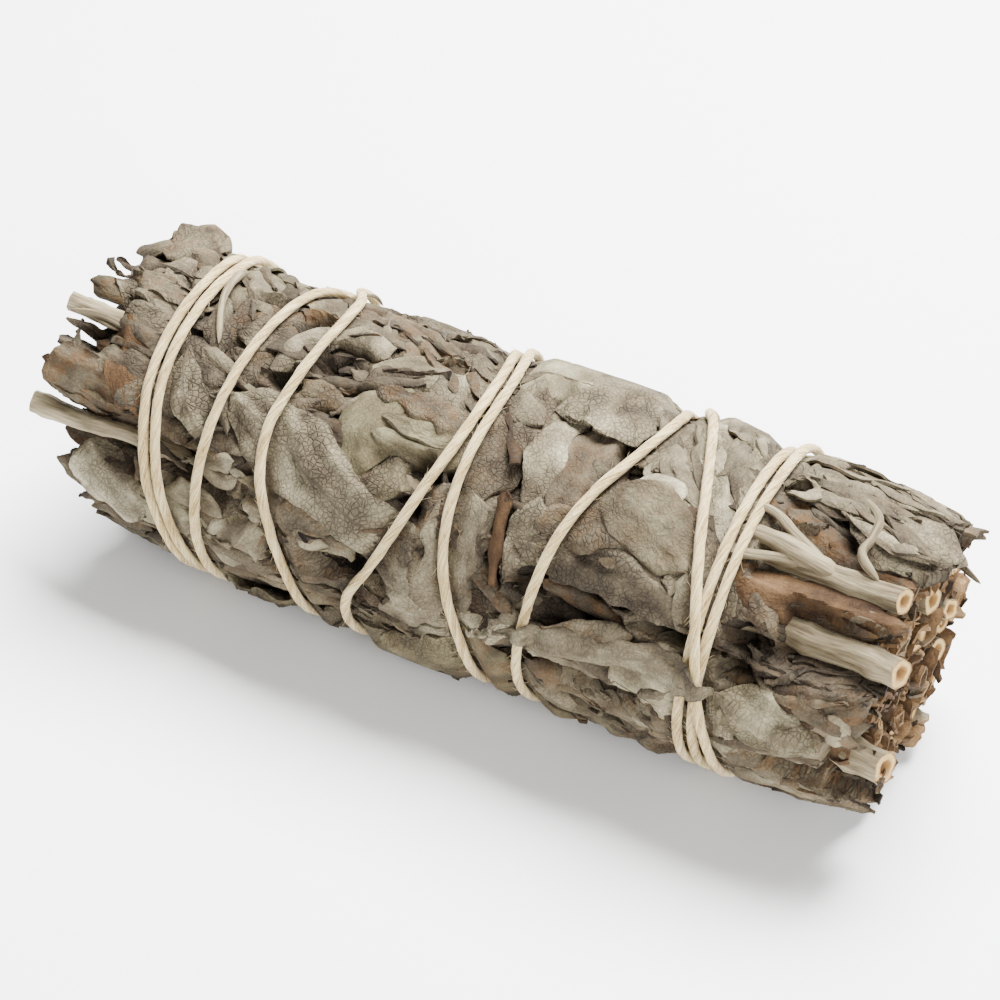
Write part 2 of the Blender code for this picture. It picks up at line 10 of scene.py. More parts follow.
import bmesh
import bpy
import numpy as np
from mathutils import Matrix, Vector


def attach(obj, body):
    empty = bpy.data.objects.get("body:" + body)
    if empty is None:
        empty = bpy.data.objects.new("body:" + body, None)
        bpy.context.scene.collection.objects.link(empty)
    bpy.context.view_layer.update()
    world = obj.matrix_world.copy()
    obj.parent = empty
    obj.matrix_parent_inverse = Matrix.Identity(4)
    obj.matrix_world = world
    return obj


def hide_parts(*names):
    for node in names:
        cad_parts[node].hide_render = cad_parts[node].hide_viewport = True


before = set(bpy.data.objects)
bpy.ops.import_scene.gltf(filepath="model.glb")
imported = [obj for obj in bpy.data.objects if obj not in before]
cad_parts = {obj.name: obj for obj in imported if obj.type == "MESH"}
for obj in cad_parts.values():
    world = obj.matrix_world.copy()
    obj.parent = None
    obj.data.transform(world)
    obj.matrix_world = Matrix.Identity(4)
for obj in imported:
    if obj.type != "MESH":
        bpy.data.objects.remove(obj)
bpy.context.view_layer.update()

# %% [markdown]
# ## Places on the bundle
# A place on a bundle is easiest to give as a wrapper would: how far along it, and how far round it. So x is
# in millimetres along the axis, and a turn is in degrees: 0 on top, 90 at the front, 180 underneath. One
# function turns these, with a distance from the axis, into metres.

# %% Measures of the bundle, in millimetres
MM = 0.001
AXIS_HEIGHT = 17.5
ARC = math.radians(1.0) * AXIS_HEIGHT  # length on the surface of one degree of turn
LEAF_THICKNESS = 0.32
CLEARANCE = 0.1  # a leaf that lies on another is pressed into it by the rest of its thickness
STRING_DIAMETER = 1.4
SEED = 11


def level(x):
    """Distance from the axis of the outside of the bundle: it is fullest just right of its middle."""
    return np.interp(x, (-56, -46, -30, -10, 12, 34, 46, 56), (16.2, 17.0, 17.6, 17.9, 18.0, 18.1, 17.5, 16.8))


def on_bundle(x, turn, radius):
    """Points in metres."""
    angle = np.radians(turn)
    parts = np.broadcast_arrays(x, -radius * np.sin(angle), AXIS_HEIGHT + radius * np.cos(angle))
    return np.stack(parts, axis=-1) * MM


print("thickness in the middle:", round(2 * float(level(10)), 1), "mm")

# %% [markdown]
# ## Uneven on purpose
# Everything that grew is uneven. A table of random numbers, read smoothly between its entries, gives a value
# that wanders between -1 and 1, and it gives the same one each time. It makes lumps, ragged edges and
# creases.

# %% Noise
LATTICE_SIZE = 256
LATTICE = np.random.default_rng(SEED).uniform(-1.0, 1.0, (LATTICE_SIZE, LATTICE_SIZE))


def eased(share):
    """A share from 0 to 1, with soft ends."""
    return share * share * (3 - 2 * share)


def wander(u, v, seed=0.0):
    """Smooth noise from -1 to 1 with about one lump for each unit of u and v."""
    u, v = np.broadcast_arrays(np.asarray(u, float) + 17.37 * seed, np.asarray(v, float) + 9.13 * seed)
    i, j = np.floor(u).astype(int), np.floor(v).astype(int)
    fu, fv = eased(u - i), eased(v - j)
    i0, i1, j0, j1 = (index % LATTICE_SIZE for index in (i, i + 1, j, j + 1))
    low = LATTICE[i0, j0] * (1 - fu) + LATTICE[i1, j0] * fu
    high = LATTICE[i0, j1] * (1 - fu) + LATTICE[i1, j1] * fu
    return low * (1 - fv) + high * fv


def crested(u, v, seed=0.0):
    """Like wander, but with sharp crests: 1 on a crest, down to -1 between crests."""
    return 1.0 - 2.0 * np.abs(wander(u, v, seed))


def kinked(u, seed):
    """Noise along a line, straight between corners that lie one unit apart."""
    i = np.floor(u).astype(int)
    row = int(seed * 29) % LATTICE_SIZE
    return LATTICE[i % LATTICE_SIZE, row] * (1 - (u - i)) + LATTICE[(i + 1) % LATTICE_SIZE, row] * (u - i)


print("noise sample:", np.round(wander(np.arange(4) * 0.7, 0.3), 2))

# %% [markdown]
# ## The string's route
# The string comes first, although it lies outermost, because it decides where the leaves are squeezed. It is
# one piece of cotton string, wound up the bundle and back, and its places here are those of the solid model.
# Each row of the table is one pass over the front, as x at a few turns.

# %% The route
PASS_TURNS = (-45, -30, -15, 0, 15, 30, 45, 60, 75, 90, 105)
STRING_PASSES = (
    (30.4, 31.1, 31.5, 31.8, 32.0, 32.2, 32.3, 32.3, 32.2, 32.0, 31.7),
    (32.1, 32.7, 33.1, 33.4, 33.6, 33.8, 33.9, 33.9, 33.8, 33.7, 33.6),
    (17.4, 18.6, 19.0, 18.6, 17.2, 15.3, 14.1, 13.3, 12.8, 12.2, 11.6),
    (-4.8, -3.2, -1.8, -1.0, -0.9, -1.4, -2.7, -4.2, -6.0, -8.6, -11.0),
    (-27.6, -28.4, -28.6, -28.8, -29.1, -29.5, -29.8, -30.0, -30.1, -30.1, -30.2),
    (-42.0, -40.9, -40.1, -39.7, -39.6, -39.4, -39.0, -38.0, -36.9, -36.2, -34.4),
    (-40.2, -39.2, -38.5, -38.1, -38.0, -37.8, -37.4, -36.4, -35.3, -34.6, -32.8),
    (-26.2, -23.4, -22.2, -22.0, -22.1, -22.5, -23.0, -22.4, -20.6, -19.0, -17.6),
    (-3.2, -1.6, -0.2, 0.6, 0.7, 0.8, 1.0, 1.5, 2.5, 4.0, 5.2),
    (19.6, 22.0, 24.0, 26.0, 27.8, 29.6, 31.4, 33.0, 34.2, 35.2, 36.0),
)
STRING_FROM_AXIS = 18.0
SLANT_FROM, SLANT_TO = 200, 315  # the string runs straight round the underside, and slants between these turns
STRAND_STEP = 18  # degrees from one point of the route to the next
STRAND_SPACING = 0.5  # mm from one point of the finished strand to the next
STRAND_CLEARANCE = 0.15
CLIMB = 0.5  # mm that a strand may climb from one point of the route to the next
KNOT_TURN, KNOT_X = -82, 33.4
TAIL_TURN, TAIL_X = 18, 4.8


def climbing(x, total):
    """Distance from the axis at each point: a strand climbs over the earlier ones that it crosses."""
    least = STRING_DIAMETER + STRAND_CLEARANCE
    radius = np.full(len(x), STRING_FROM_AXIS)
    for i in range(len(x)):
        for rounds in range(1, len(STRING_PASSES) + 1):
            earlier = total[i] - 360.0 * rounds
            if earlier < total[0]:
                break
            beside = abs(np.interp(earlier, total[:i], x[:i]) - x[i])
            under = np.interp(earlier, total[:i], radius[:i])
            if beside < least:
                radius[i] = max(radius[i], under + math.sqrt(least**2 - beside**2))
    lifted = radius.copy()
    for step in (1, 2):
        fall = CLIMB * step
        lifted[step:] = np.maximum(lifted[step:], radius[:-step] - fall)
        lifted[:-step] = np.maximum(lifted[:-step], radius[step:] - fall)
    return lifted


def string_route():
    """Rows of x, total turn and distance from the axis, one for each step of the strand."""
    turns, xs = [KNOT_TURN - TAIL_TURN, KNOT_TURN], [KNOT_X + TAIL_X, KNOT_X]
    following = [*(across[0] for across in STRING_PASSES[1:]), KNOT_X]
    for number, across in enumerate(STRING_PASSES):
        turns += [turn + 360 * number for turn in PASS_TURNS]
        xs += list(across)
        for turn in range(120, 301, 15):
            share = min(1.0, max(0.0, (turn - SLANT_FROM) / (SLANT_TO - SLANT_FROM)))
            if number < len(STRING_PASSES) - 1 or turn < 360 + KNOT_TURN:
                turns.append(turn + 360 * number)
                xs.append(across[-1] + eased(share) * (following[number] - across[-1]))
    last = 360 * len(STRING_PASSES) + KNOT_TURN
    turns += [last, last + TAIL_TURN]
    xs += [KNOT_X + 0.6, KNOT_X + TAIL_X]
    total = np.arange(turns[0], turns[-1] + 0.1, STRAND_STEP)
    x = np.interp(total, turns, xs)
    lowest = AXIS_HEIGHT - STRING_DIAMETER / 2 - STRAND_CLEARANCE
    down = np.maximum(-np.cos(np.radians(total)), 0.1)
    return np.column_stack([x, total, np.minimum(climbing(x, total), lowest / down)])


def distance_along(points):
    """How far along their line each of the points lies."""
    return np.concatenate([[0.0], np.cumsum(np.linalg.norm(np.diff(points, axis=0), axis=1))])


def through(points, spacing):
    """A smooth curve through the rows of points, as rows that are evenly spaced."""
    points = np.asarray(points, float)
    ends = np.vstack([2 * points[0] - points[1], points, 2 * points[-1] - points[-2]])
    t = np.linspace(0, len(points) - 1, 40 * (len(points) - 1) + 1)
    i = np.minimum(t.astype(int), len(points) - 2)
    f = (t - i)[:, None]
    a, b, c, d = ends[i], ends[i + 1], ends[i + 2], ends[i + 3]
    curve = 0.5 * (2 * b + (c - a) * f + (2 * a - 5 * b + 4 * c - d) * f**2 + (3 * b - a - 3 * c + d) * f**3)
    run = distance_along(curve)
    even = np.linspace(0.0, run[-1], max(3, round(run[-1] / spacing) + 1))
    return np.column_stack([np.interp(even, run, column) for column in curve.T])


ROUTE = string_route()
STRAND = through(np.column_stack([ROUTE[:, 0], ROUTE[:, 1] * ARC, ROUTE[:, 2]]), STRAND_SPACING)  # x, turn, radius
STRAND[:, 1] /= ARC
STRAND_POINTS = on_bundle(STRAND[:, 0], STRAND[:, 1], STRAND[:, 2]) / MM
print("string: %d points, %.2f m long" % (len(STRAND), distance_along(STRAND_POINTS)[-1] * MM))

# %% [markdown]
# ## Where the stems lie
# The leaves were cut on their twigs, and the woody stems show at both ends. They are stiffer than the leaves,
# so their places come first too. Five of them lie on the outside for part of their length.

# %% Stems: the cut end x, y and z from the axis, then length and diameter
STEMS = (
    ((52.0, -5.9, 15.1), 26.0, 2.9), ((54.3, -10.9, 9.9), 21.0, 3.6), ((54.75, -13.8, -1.6), 20.0, 3.9),
    ((51.4, 5.0, 6.0), 84.0, 3.0), ((50.6, 12.0, 4.0), 52.0, 2.8), ((50.0, 13.2, -4.8), 44.0, 2.7),
    ((51.2, 9.2, -5.3), 60.0, 2.6), ((50.4, 10.0, -10.8), 40.0, 2.8), ((50.0, 0.5, -13.8), 34.0, 2.4),
    ((51.6, 10.6, 0.0), 56.0, 2.6), ((50.2, 3.4, 1.0), 88.0, 3.1), ((50.8, -1.0, -8.0), 72.0, 3.0),
    ((50.2, 5.2, -12.2), 48.0, 2.5), ((50.4, -4.6, 5.6), 78.0, 3.0), ((50.0, 3.2, 11.6), 62.0, 2.8),
    ((-54.4, -5.6, 14.4), 18.0, 2.4), ((-54.8, -14.0, 5.2), 22.0, 2.9),
)
STEM_CONVERGENCE = 0.0024  # share by which a stem draws in towards the axis for each mm of its length
STEMS_IN_SIGHT = {0: 35.5, 1: 41.0, 2: 49.0, 15: -46.5, 16: -39.0}  # number, and the x where leaves cover it


def stem_line(stem):
    """The two ends of a stem's middle line, in mm: the stems draw together towards the middle of the bundle."""
    cut, length, _ = stem
    near = 1.0 - STEM_CONVERGENCE * length
    start = np.array([cut[0] - math.copysign(length, cut[0]), cut[1] * near, AXIS_HEIGHT + cut[2] * near])
    return start, np.array([cut[0], cut[1], AXIS_HEIGHT + cut[2]])


print("stems in the bundle:", len(STEMS))

# %% [markdown]
# ## What presses on the leaves
# Four things hold the leaves down: the string, the table under the bundle, the stems that lie outermost, and
# the hand that wrapped it all. They are kept as one table of the greatest distance from the axis that a leaf
# may reach. Under the string it is a narrow groove. A leaf never stops dead at that height: it comes up to it
# softly, so that several leaves pressed at one place keep their order.

# %% The table of pressed heights
GRID_STEP, GRID_TURN_STEP = 0.3, 1.0  # mm and degrees
GRID_X = np.arange(-60.0, 60.01, GRID_STEP)
GRID_TURN = np.arange(0.0, 360.0, GRID_TURN_STEP)
SOFTNESS = 0.25  # mm below the greatest height at which a leaf begins to give way
ANYTHING = 99.0  # a height in mm that holds nothing down


def read(table, xs, step_turn, x, turn):
    """A table of heights, read smoothly at any place."""
    i = np.clip((x - xs[0]) / (xs[1] - xs[0]), 0, len(xs) - 1.001)
    j = (turn % 360.0) / step_turn
    i0, j0 = i.astype(int), j.astype(int)
    fi, fj = i - i0, j - j0
    columns = table.shape[1]
    j1 = (j0 + 1) % columns
    j0 = j0 % columns
    low = table[i0, j0] * (1 - fi) + table[i0 + 1, j0] * fi
    high = table[i0, j1] * (1 - fi) + table[i0 + 1, j1] * fi
    return low * (1 - fj) + high * fj


def press_tables():
    """The most that a leaf may reach under the string and over the table, and the top of the string."""
    most = np.tile(level(GRID_X)[:, None] + 1.5, (1, len(GRID_TURN)))
    string_top = np.zeros_like(most)
    near_rows, near_columns = 12, 11  # entries on each side that a strand presses on
    for x, turn, radius in STRAND:
        i = int(round((x - GRID_X[0]) / GRID_STEP))
        j = int(round(turn))
        rows = np.arange(max(0, i - near_rows), min(len(GRID_X), i + near_rows + 1))
        columns = np.arange(j - near_columns, j + near_columns + 1)
        away = np.hypot((GRID_X[rows] - x)[:, None], ((columns - turn) * ARC)[None, :])
        groove = radius - STRING_DIAMETER / 2 + 0.03 + 0.75 * np.maximum(0.0, away - 0.75)
        block = np.ix_(rows, columns % len(GRID_TURN))
        most[block] = np.minimum(most[block], groove)
        string_top[block] = np.maximum(string_top[block], np.where(away < 1.0, radius + 0.7 - 0.5 * away**2, 0.0))
    for number, covered_from in STEMS_IN_SIGHT.items():
        start, end = stem_line(STEMS[number])
        half = STEMS[number][2] / 2
        for x in np.arange(min(covered_from, end[0]), max(covered_from, end[0]), GRID_STEP):
            _, y, z = start + (end - start) * (x - start[0]) / (end[0] - start[0])
            i = int(round((x - GRID_X[0]) / GRID_STEP))
            away = ((GRID_TURN - math.degrees(math.atan2(-y, z - AXIS_HEIGHT)) + 180.0) % 360.0 - 180.0) * ARC
            beside = math.hypot(y, z - AXIS_HEIGHT) + 0.7 * np.maximum(0.0, np.abs(away) - half)
            most[i] = np.minimum(most[i], np.where(np.abs(away) < 4.0, beside, ANYTHING))
    down = -np.cos(np.radians(GRID_TURN))
    table_top = np.where(down > 0.3, (AXIS_HEIGHT - 0.06) / np.maximum(down, 0.3), ANYTHING)
    return np.minimum(most, table_top[None, :]), string_top


MOST, STRING_TOP = press_tables()


def pressed(x, turn, radius):
    """The radius, held under what presses on the leaves."""
    most = read(MOST, GRID_X, GRID_TURN_STEP, x, turn)
    room = np.clip((most - radius) / SOFTNESS, -30.0, 30.0)
    held = most - SOFTNESS * np.log1p(np.exp(room))
    return np.where(room > 20.0, radius, held)


print("least height under the string:", round(float(MOST.min()), 2), "mm from the axis")

# %% [markdown]
# ## The pile
# The pile remembers how high the leaves already lie at each place. A new leaf is stiff: it doesn't follow
# each small step below it, so it is laid on a widened and smoothed copy of the pile.

# %% The pile of leaves
PILE_STEP, PILE_TURN = 0.6, 2.0  # mm and degrees
PILE_START = 9.0  # mm from the axis, before any leaf is laid


def widened(table):
    """Each place takes the greatest height next to it."""
    wide = np.maximum(table, np.maximum(np.roll(table, 1, axis=1), np.roll(table, -1, axis=1)))
    padded = np.pad(wide, ((1, 1), (0, 0)), mode="edge")
    return np.maximum(wide, np.maximum(padded[:-2], padded[2:]))


def smoothed(table):
    """Each place takes the mean of itself and its neighbours."""
    soft = (2 * table + np.roll(table, 1, axis=1) + np.roll(table, -1, axis=1)) / 4
    padded = np.pad(soft, ((1, 1), (0, 0)), mode="edge")
    return (2 * soft + padded[:-2] + padded[2:]) / 4


class Pile:
    """The height of the leaves laid so far."""

    def __init__(self):
        self.xs = np.arange(-60.0, 60.01, PILE_STEP)
        self.top = np.full((len(self.xs), int(360 / PILE_TURN)), PILE_START)

    def felt(self, x, turn):
        """The height on which a stiff leaf comes to lie."""
        wide = widened(self.top)
        return read(np.maximum(smoothed(wide), 0.5 * (wide + self.top)), self.xs, PILE_TURN, x, turn)

    def smooth(self, x, turn):
        """The mean height of the pile about a place."""
        return read(smoothed(self.top), self.xs, PILE_TURN, x, turn)

    def add(self, x, turn, radius):
        """Raise the pile by the points of a new leaf."""
        i = np.clip(np.rint((x - self.xs[0]) / PILE_STEP).astype(int), 0, len(self.xs) - 1)
        j = np.rint((turn % 360.0) / PILE_TURN).astype(int) % self.top.shape[1]
        np.maximum.at(self.top, (i, j), radius)


pile = Pile()
print("pile:", pile.top.shape)

# %% [markdown]
# ## One leaf
# A dried leaf is a sheet that bends but hardly stretches. So it is made from its cross-section: the bend at
# each point across it is added up from the midrib outwards, which is what really happens when a leaf curls,
# folds along its keel or rolls up. The sections then follow a line over the bundle. A style says how much of
# each a leaf has. Creases, lengthwise ribs and a ragged edge go into the mesh. Only the fine net of veins is
# left to the material.

# %% The style of a leaf
PLAIN = {
    "lift": (0.0,),  # mm above the outside of the bundle, along the leaf
    "tilt": (0.0,),  # degrees that the left side of the way along it stands up
    "cup": -38.0,  # degrees that each half bends up by its edge; less than 0 is a dome
    "keel": 0.0,  # degrees of fold at the midrib
    "curl": (0.0, 0.0),  # degrees that the left and right margins curl up
    "curl_width": 2.0,
    "ruffle": 0.3,
    "crumple": 0.7,
    "ribs": 0.3,
    "midrib": 0.15,
    "ragged": 0.13,
    "sink": 0.15,  # mm that its margins are pressed in among their neighbours
    "ends": (5.0, 6.0),  # mm over which each end tapers; 0 is torn straight off
    "tone": 0.64,  # 0 is nearly black, 0.6 grey-olive, 1 a pale grey
    "rust": 0.15,
    "green": 0.2,
    "net": 0.8,
    "free": False,
    "over": False,
    "low": False,  # pressed in where the bundle has a gap
    "proud": 0.0,  # mm that it may stand off the bundle beyond what its neighbours do
}
leaf_count = 0


def next_number():
    """Every leaf has its own number, so that no two share their creases and veins."""
    global leaf_count
    leaf_count += 1
    return leaf_count


def along(values, share):
    """A short list of values, read along the leaf."""
    values = np.atleast_1d(np.asarray(values, float))
    return np.interp(share, np.linspace(0.0, 1.0, len(values)), values)


def outline(run, length, widths, style, number):
    """Half the width on the left and right of the midrib, at each place along it."""
    half = 0.5 * along(widths, run / length)
    start, end = style["ends"]
    for size, gone in ((start, run), (end, length - run)):
        if size > 0:
            near = np.clip(gone / min(size, 0.48 * length), 0.0, 1.0)
            half = half * np.maximum(0.05, near * (2.0 - near)) ** 0.85
    sides = []
    for side in (1, 2):
        torn = 1.2 * kinked(run / 2.7, number + 0.37 * side) + 0.5 * kinked(run / 0.8, number + 0.71 * side)
        bulge = 1.0 + 0.24 * wander(run / 6.5, side * 7.7, number)
        sides.append(np.maximum(0.1, half * bulge + style["ragged"] * torn * np.minimum(1.0, half / 1.5)))
    return sides


def section(run, side, left, right, style, number):
    """The bent cross-sections: how far across and how far up each point lies, and its way across."""
    half = np.where(side >= 0, left, right)
    q = side * half
    drift = 0.7 * wander(run / 9.0, 0.5, number)
    share = 0.35 + 2.2 * np.clip(crested(run / 17.0, q / 2.2 + drift, number + 0.4), 0.0, 1.0) ** 3
    bend = math.radians(style["cup"]) / half * share
    bend = bend + math.radians(style["keel"]) * np.exp(-((q / 0.4) ** 2)) / 0.71
    width = np.minimum(style["curl_width"], half)
    near = np.clip((np.abs(q) - half + width) / width, 0.0, 1.0)
    own = [side_curl + 45 * wander(1.7 * number, i * 5.2) for i, side_curl in enumerate(style["curl"])]
    curl = np.radians(np.where(side >= 0, *own))
    curl = curl * (1.0 + 0.45 * wander(run / 4.5, np.sign(side), number))
    bend = bend + curl * 2.0 * near / width
    step = np.diff(q, axis=1)
    turned = np.cumsum(np.pad(0.5 * (bend[:, 1:] + bend[:, :-1]) * step, ((0, 0), (1, 0))), axis=1)
    middle = side.shape[1] // 2
    turned = turned - turned[:, middle : middle + 1]
    mean = 0.5 * (turned[:, 1:] + turned[:, :-1])
    across = np.cumsum(np.pad(np.cos(mean) * step, ((0, 0), (1, 0))), axis=1)
    up = np.cumsum(np.pad(np.sin(mean) * step, ((0, 0), (1, 0))), axis=1)
    across = across - across[:, middle : middle + 1]
    up = up - up[:, middle : middle + 1]
    relief = wrinkles(run, q, half, style, number)
    return across - np.sin(turned) * relief, up + np.cos(turned) * relief, q, half, relief


def wrinkles(run, q, half, style, number):
    """How far each point stands off the smooth sheet."""
    crumple = style["crumple"]
    drift = 0.9 * wander(run / 10.0, 0.5, number + 0.8)
    # long pleats, then broad lumps and folds a few mm apart, then fine puckers
    pleats = crested(run / 17.0, q / 2.5 + drift, number + 0.1) - crested(run / 13.0, q / 3.1 - drift, number + 0.6)
    folds = crested(run / 4.2, q / 3.0, number + 0.3) - crested(run / 3.3, q / 4.4, number + 0.7)
    relief = style["ribs"] * pleats
    relief = relief + crumple * 0.9 * wander(run / 9.0, q / 7.0, number)
    relief = relief + crumple * 0.32 * folds
    relief = relief + 0.13 * crumple * crested(run / 2.4, q / 1.3, number + 0.9)
    relief = relief + 0.07 * crumple * wander(run / 0.9, q / 0.9, number)
    relief = relief + style["midrib"] * np.minimum(1.0, half / 2.5) * np.exp(-((q / 0.4) ** 2))
    waves = np.sin(2 * np.pi * run / 5.2 + 3.0 * wander(run / 7.0, np.sign(q), number))
    return relief + style["ruffle"] * (np.abs(q) / half) ** 3 * waves


print("a plain leaf has", len(PLAIN), "settings")

# %% Sheets in a mesh
# the last two marks are painted shade: in the creases of a leaf and deep in the bundle
LAYERS = ("tone", "rust", "green", "net", "rim", "hollow", "deep")


def new_shape(layers=LAYERS):
    """An empty bmesh that carries what its material reads."""
    shape = bmesh.new()
    for name in layers:
        shape.verts.layers.float.new(name)
    shape.verts.layers.float_vector.new("place")
    return shape


def add_sheet(shape, points, marks, place):
    """One grid, with its vertices moved to the points in metres and its marks written on them."""
    rows, columns = points.shape[:2]
    made = bmesh.ops.create_grid(shape, x_segments=rows - 1, y_segments=columns - 1, size=0.5)["verts"]
    layers = [(shape.verts.layers.float[name], values) for name, values in marks.items()]
    place_layer = shape.verts.layers.float_vector["place"]
    for vert in made:
        i, j = round((vert.co.x + 0.5) * (rows - 1)), round((vert.co.y + 0.5) * (columns - 1))
        vert.co = points[i, j]
        vert[place_layer] = place[i, j]
        for layer, values in layers:
            vert[layer] = values[i, j]
    return made


def leaf_marks(run, q, half, relief, length, radius, x, style, number):
    """What the material is told about each point of a leaf."""
    ends = [np.where(size > 0, 9.0, gone) for size, gone in zip(style["ends"], (run, length - run))]
    to_edge = np.minimum(half - np.abs(q), np.minimum(*ends) + 0 * q)
    shape = np.broadcast(run, q).shape
    values = {
        "tone": style["tone"] + 0.07 * wander(run / 5.0, q / 4.0, number + 0.2) + 0 * q,
        "rust": np.full(shape, style["rust"]),
        "green": np.full(shape, style["green"]),
        "net": np.full(shape, style["net"]),
        "rim": np.clip(1.0 - to_edge / 1.0, 0.0, 1.0),
        # painted shade in the creases of the leaf's own relief
        "hollow": np.clip(-relief / 0.4, 0.0, 1.0),
        # painted shade, darker the deeper a point lies under the outside of the bundle
        "deep": np.clip((level(x) - radius) / 5.0, 0.0, 1.0),
    }
    return {name: np.broadcast_to(value, shape) for name, value in values.items()}


def own_place(run, q, above, number):
    """The mm along, across and above of each point, moved on for every leaf so that no two have the same net."""
    return np.stack(np.broadcast_arrays(run + 31.7 * number, q, 6.3 * number + above), axis=-1)


def lay_leaf(shape, path, widths, cell=0.35, **style):
    """A leaf laid over the bundle along a path of (x, turn)."""
    style = {**PLAIN, **style}
    number = next_number()
    line = through([(x, turn * ARC) for x, turn in path], cell)
    run = distance_along(line)[:, None]
    length = float(run[-1, 0])
    columns = 2 * max(3, round(max(widths) / (2 * cell))) + 1
    side = np.linspace(-1.0, 1.0, columns)[None, :] + 0 * run
    left, right = outline(run, length, widths, style, number)
    across, up, q, half, relief = section(run, side, left, right, style, number)
    lean = 15.0 * wander(3.7 * number, 0.9) + 8.0 * wander(run / 9.0, 0.5, number)
    tilt = np.radians(along(style["tilt"], run / length) + lean)
    across, up = across * np.cos(tilt) - up * np.sin(tilt), across * np.sin(tilt) + up * np.cos(tilt)
    tangent = np.gradient(line, axis=0)
    tangent = tangent / np.linalg.norm(tangent, axis=1)[:, None]
    torn = [max(0.0, 0.7 - 0.3 * size) for size in style["ends"]]
    slip = 1.3 * kinked(q / 1.7, number + 0.2) + 0.6 * kinked(q / 0.6, number + 0.6)
    slip = slip * (torn[1] * np.clip(1 - (length - run) / 2.5, 0, 1) - torn[0] * np.clip(1 - run / 2.5, 0, 1))
    x = line[:, :1] + tangent[:, 1:] * across + tangent[:, :1] * slip
    turn = (line[:, 1:] - tangent[:, :1] * across + tangent[:, 1:] * slip) / ARC
    radius = level(x) + along(style["lift"], run / length) + up
    if style["free"]:
        radius = radius + sunk(pile.smooth(x, turn) - radius, up)
    else:
        radius = radius + settled(pile.felt(x, turn) + CLEARANCE - radius, up, run, q, half, style["sink"], number)
    if style["low"]:
        uneven = 0.5 * wander(run / 3.0, q / 2.0, number)
        radius = np.minimum(radius, gap_floor(x, turn) + uneven + 0.4 * wander(number, 0.4))
    pile.add(x, turn, radius)
    held = pressed(x, turn, radius - style["proud"]) + style["proud"]
    if style["over"]:
        held = np.maximum(held, read(STRING_TOP, GRID_X, GRID_TURN_STEP, x, turn) + LEAF_THICKNESS + 0.1)
        held = np.maximum(held, softened(held))
    marks = leaf_marks(run, q, half, relief, length, held, x, style, number)
    add_sheet(shape, on_bundle(x, turn, held), marks, own_place(run, q, held - level(x), number))


def softened(values):
    """A grid of values with each one drawn to the mean of its neighbours, six times over."""
    for _ in range(6):
        padded = np.pad(values, 1, mode="edge")
        values = (padded[:-2, 1:-1] + padded[2:, 1:-1] + padded[1:-1, :-2] + padded[1:-1, 2:]) / 4
    return values


def raised(needed, back, times):
    """How far each row of a leaf is raised: what its back needs on average, evened out along the leaf."""
    row = (np.maximum(0.0, needed) * back).sum(axis=1, keepdims=True) / back.sum(axis=1, keepdims=True)
    for _ in range(times):
        ends = np.pad(row, ((1, 1), (0, 0)), mode="edge")
        row = (ends[:-2] + ends[1:-1] + ends[2:]) / 3
    return row


def settled(needed, up, run, q, half, sink, number):
    """How far a domed leaf is raised so that its back clears the pile, with its margins down among its neighbours."""
    back = up >= 0.5 * (up.min(axis=1, keepdims=True) + up.max(axis=1, keepdims=True))
    row = raised(needed, back, 6)
    least = np.maximum(row, needed)
    clear = np.maximum(least, softened(least))
    tucked = np.clip(0.5 + 1.1 * wander(run / 5.0, np.sign(q), number + 0.5), 0.0, 1.0)
    edge = row + tucked * np.clip(needed - CLEARANCE - sink - row, -1.3, 0.0)
    inside = eased(np.clip((half - np.abs(q)) / np.minimum(1.1, 0.4 * half), 0.0, 1.0))
    return edge + inside * (clear - edge)


def sunk(needed, up):
    """How far a rolled leaf is raised so that its back lies free, with its margins down among its neighbours."""
    back = up >= 0.6 * up.min(axis=1, keepdims=True) + 0.4 * up.max(axis=1, keepdims=True)
    return raised(needed + CLEARANCE, back, 8)


# %% [markdown]
# ## Dark gaps
# A wrapped bundle is full of holes between its leaves, and the eye takes them for depth. The largest ones of
# the real stick are listed here. A leaf that crosses such a place is pressed in, down a slope that is steep on
# its upper side, where the next leaf hangs over it.

# %% Gaps between the leaves
GAPS = (  # x, turn, half length in mm, half height in degrees
    (-49.0, 33, 1.6, 4), (-32.0, -15, 2.2, 4), (-31.0, 70, 5.0, 7), (-24.5, -7, 2.0, 5), (-19.0, 9, 2.2, 6),
    (-24.0, 22, 1.4, 4), (-10.0, 81, 3.2, 5), (-3.2, 38, 1.4, 5), (-4.0, 53, 1.4, 3), (7.3, 60, 0.8, 14),
    (18.0, 65, 4.6, 5), (19.0, 96, 7.0, 4), (17.0, 0, 0.9, 6), (21.0, 20, 1.0, 3), (37.8, 54, 2.2, 4.5),
    (37.5, 67, 1.8, 4), (35.8, -9, 1.2, 3), (-38.5, 66, 6.0, 4), (-20.0, 90, 0.7, 4), (-6.6, -6, 1.0, 2),
    (45.0, 57, 5.0, 2), (31.0, 63, 4.0, 2), (46.0, 100, 4.0, 3), (-12.0, -32, 4.0, 4), (12.5, 63, 1.6, 4),
)


def gap_floor(x, turn):
    """The most that a leaf may reach: low in a gap, and anything elsewhere."""
    turn = (turn + 180.0) % 360.0 - 180.0
    most = np.full(np.shape(x), ANYTHING)
    for where, at, half_x, half_turn in GAPS:
        away = np.hypot((x - where) / half_x, (turn - at) / half_turn)
        away = away + 0.28 * wander(x / 1.1, turn / 3.6, where)
        slope = 4.4 - 2.0 * np.tanh((turn - at) / half_turn)  # steep on its upper side, where a leaf hangs over it
        most = np.minimum(most, level(x) - 3.8 + slope * np.maximum(0.0, away - 0.7))
    return most


print("gaps:", len(GAPS))
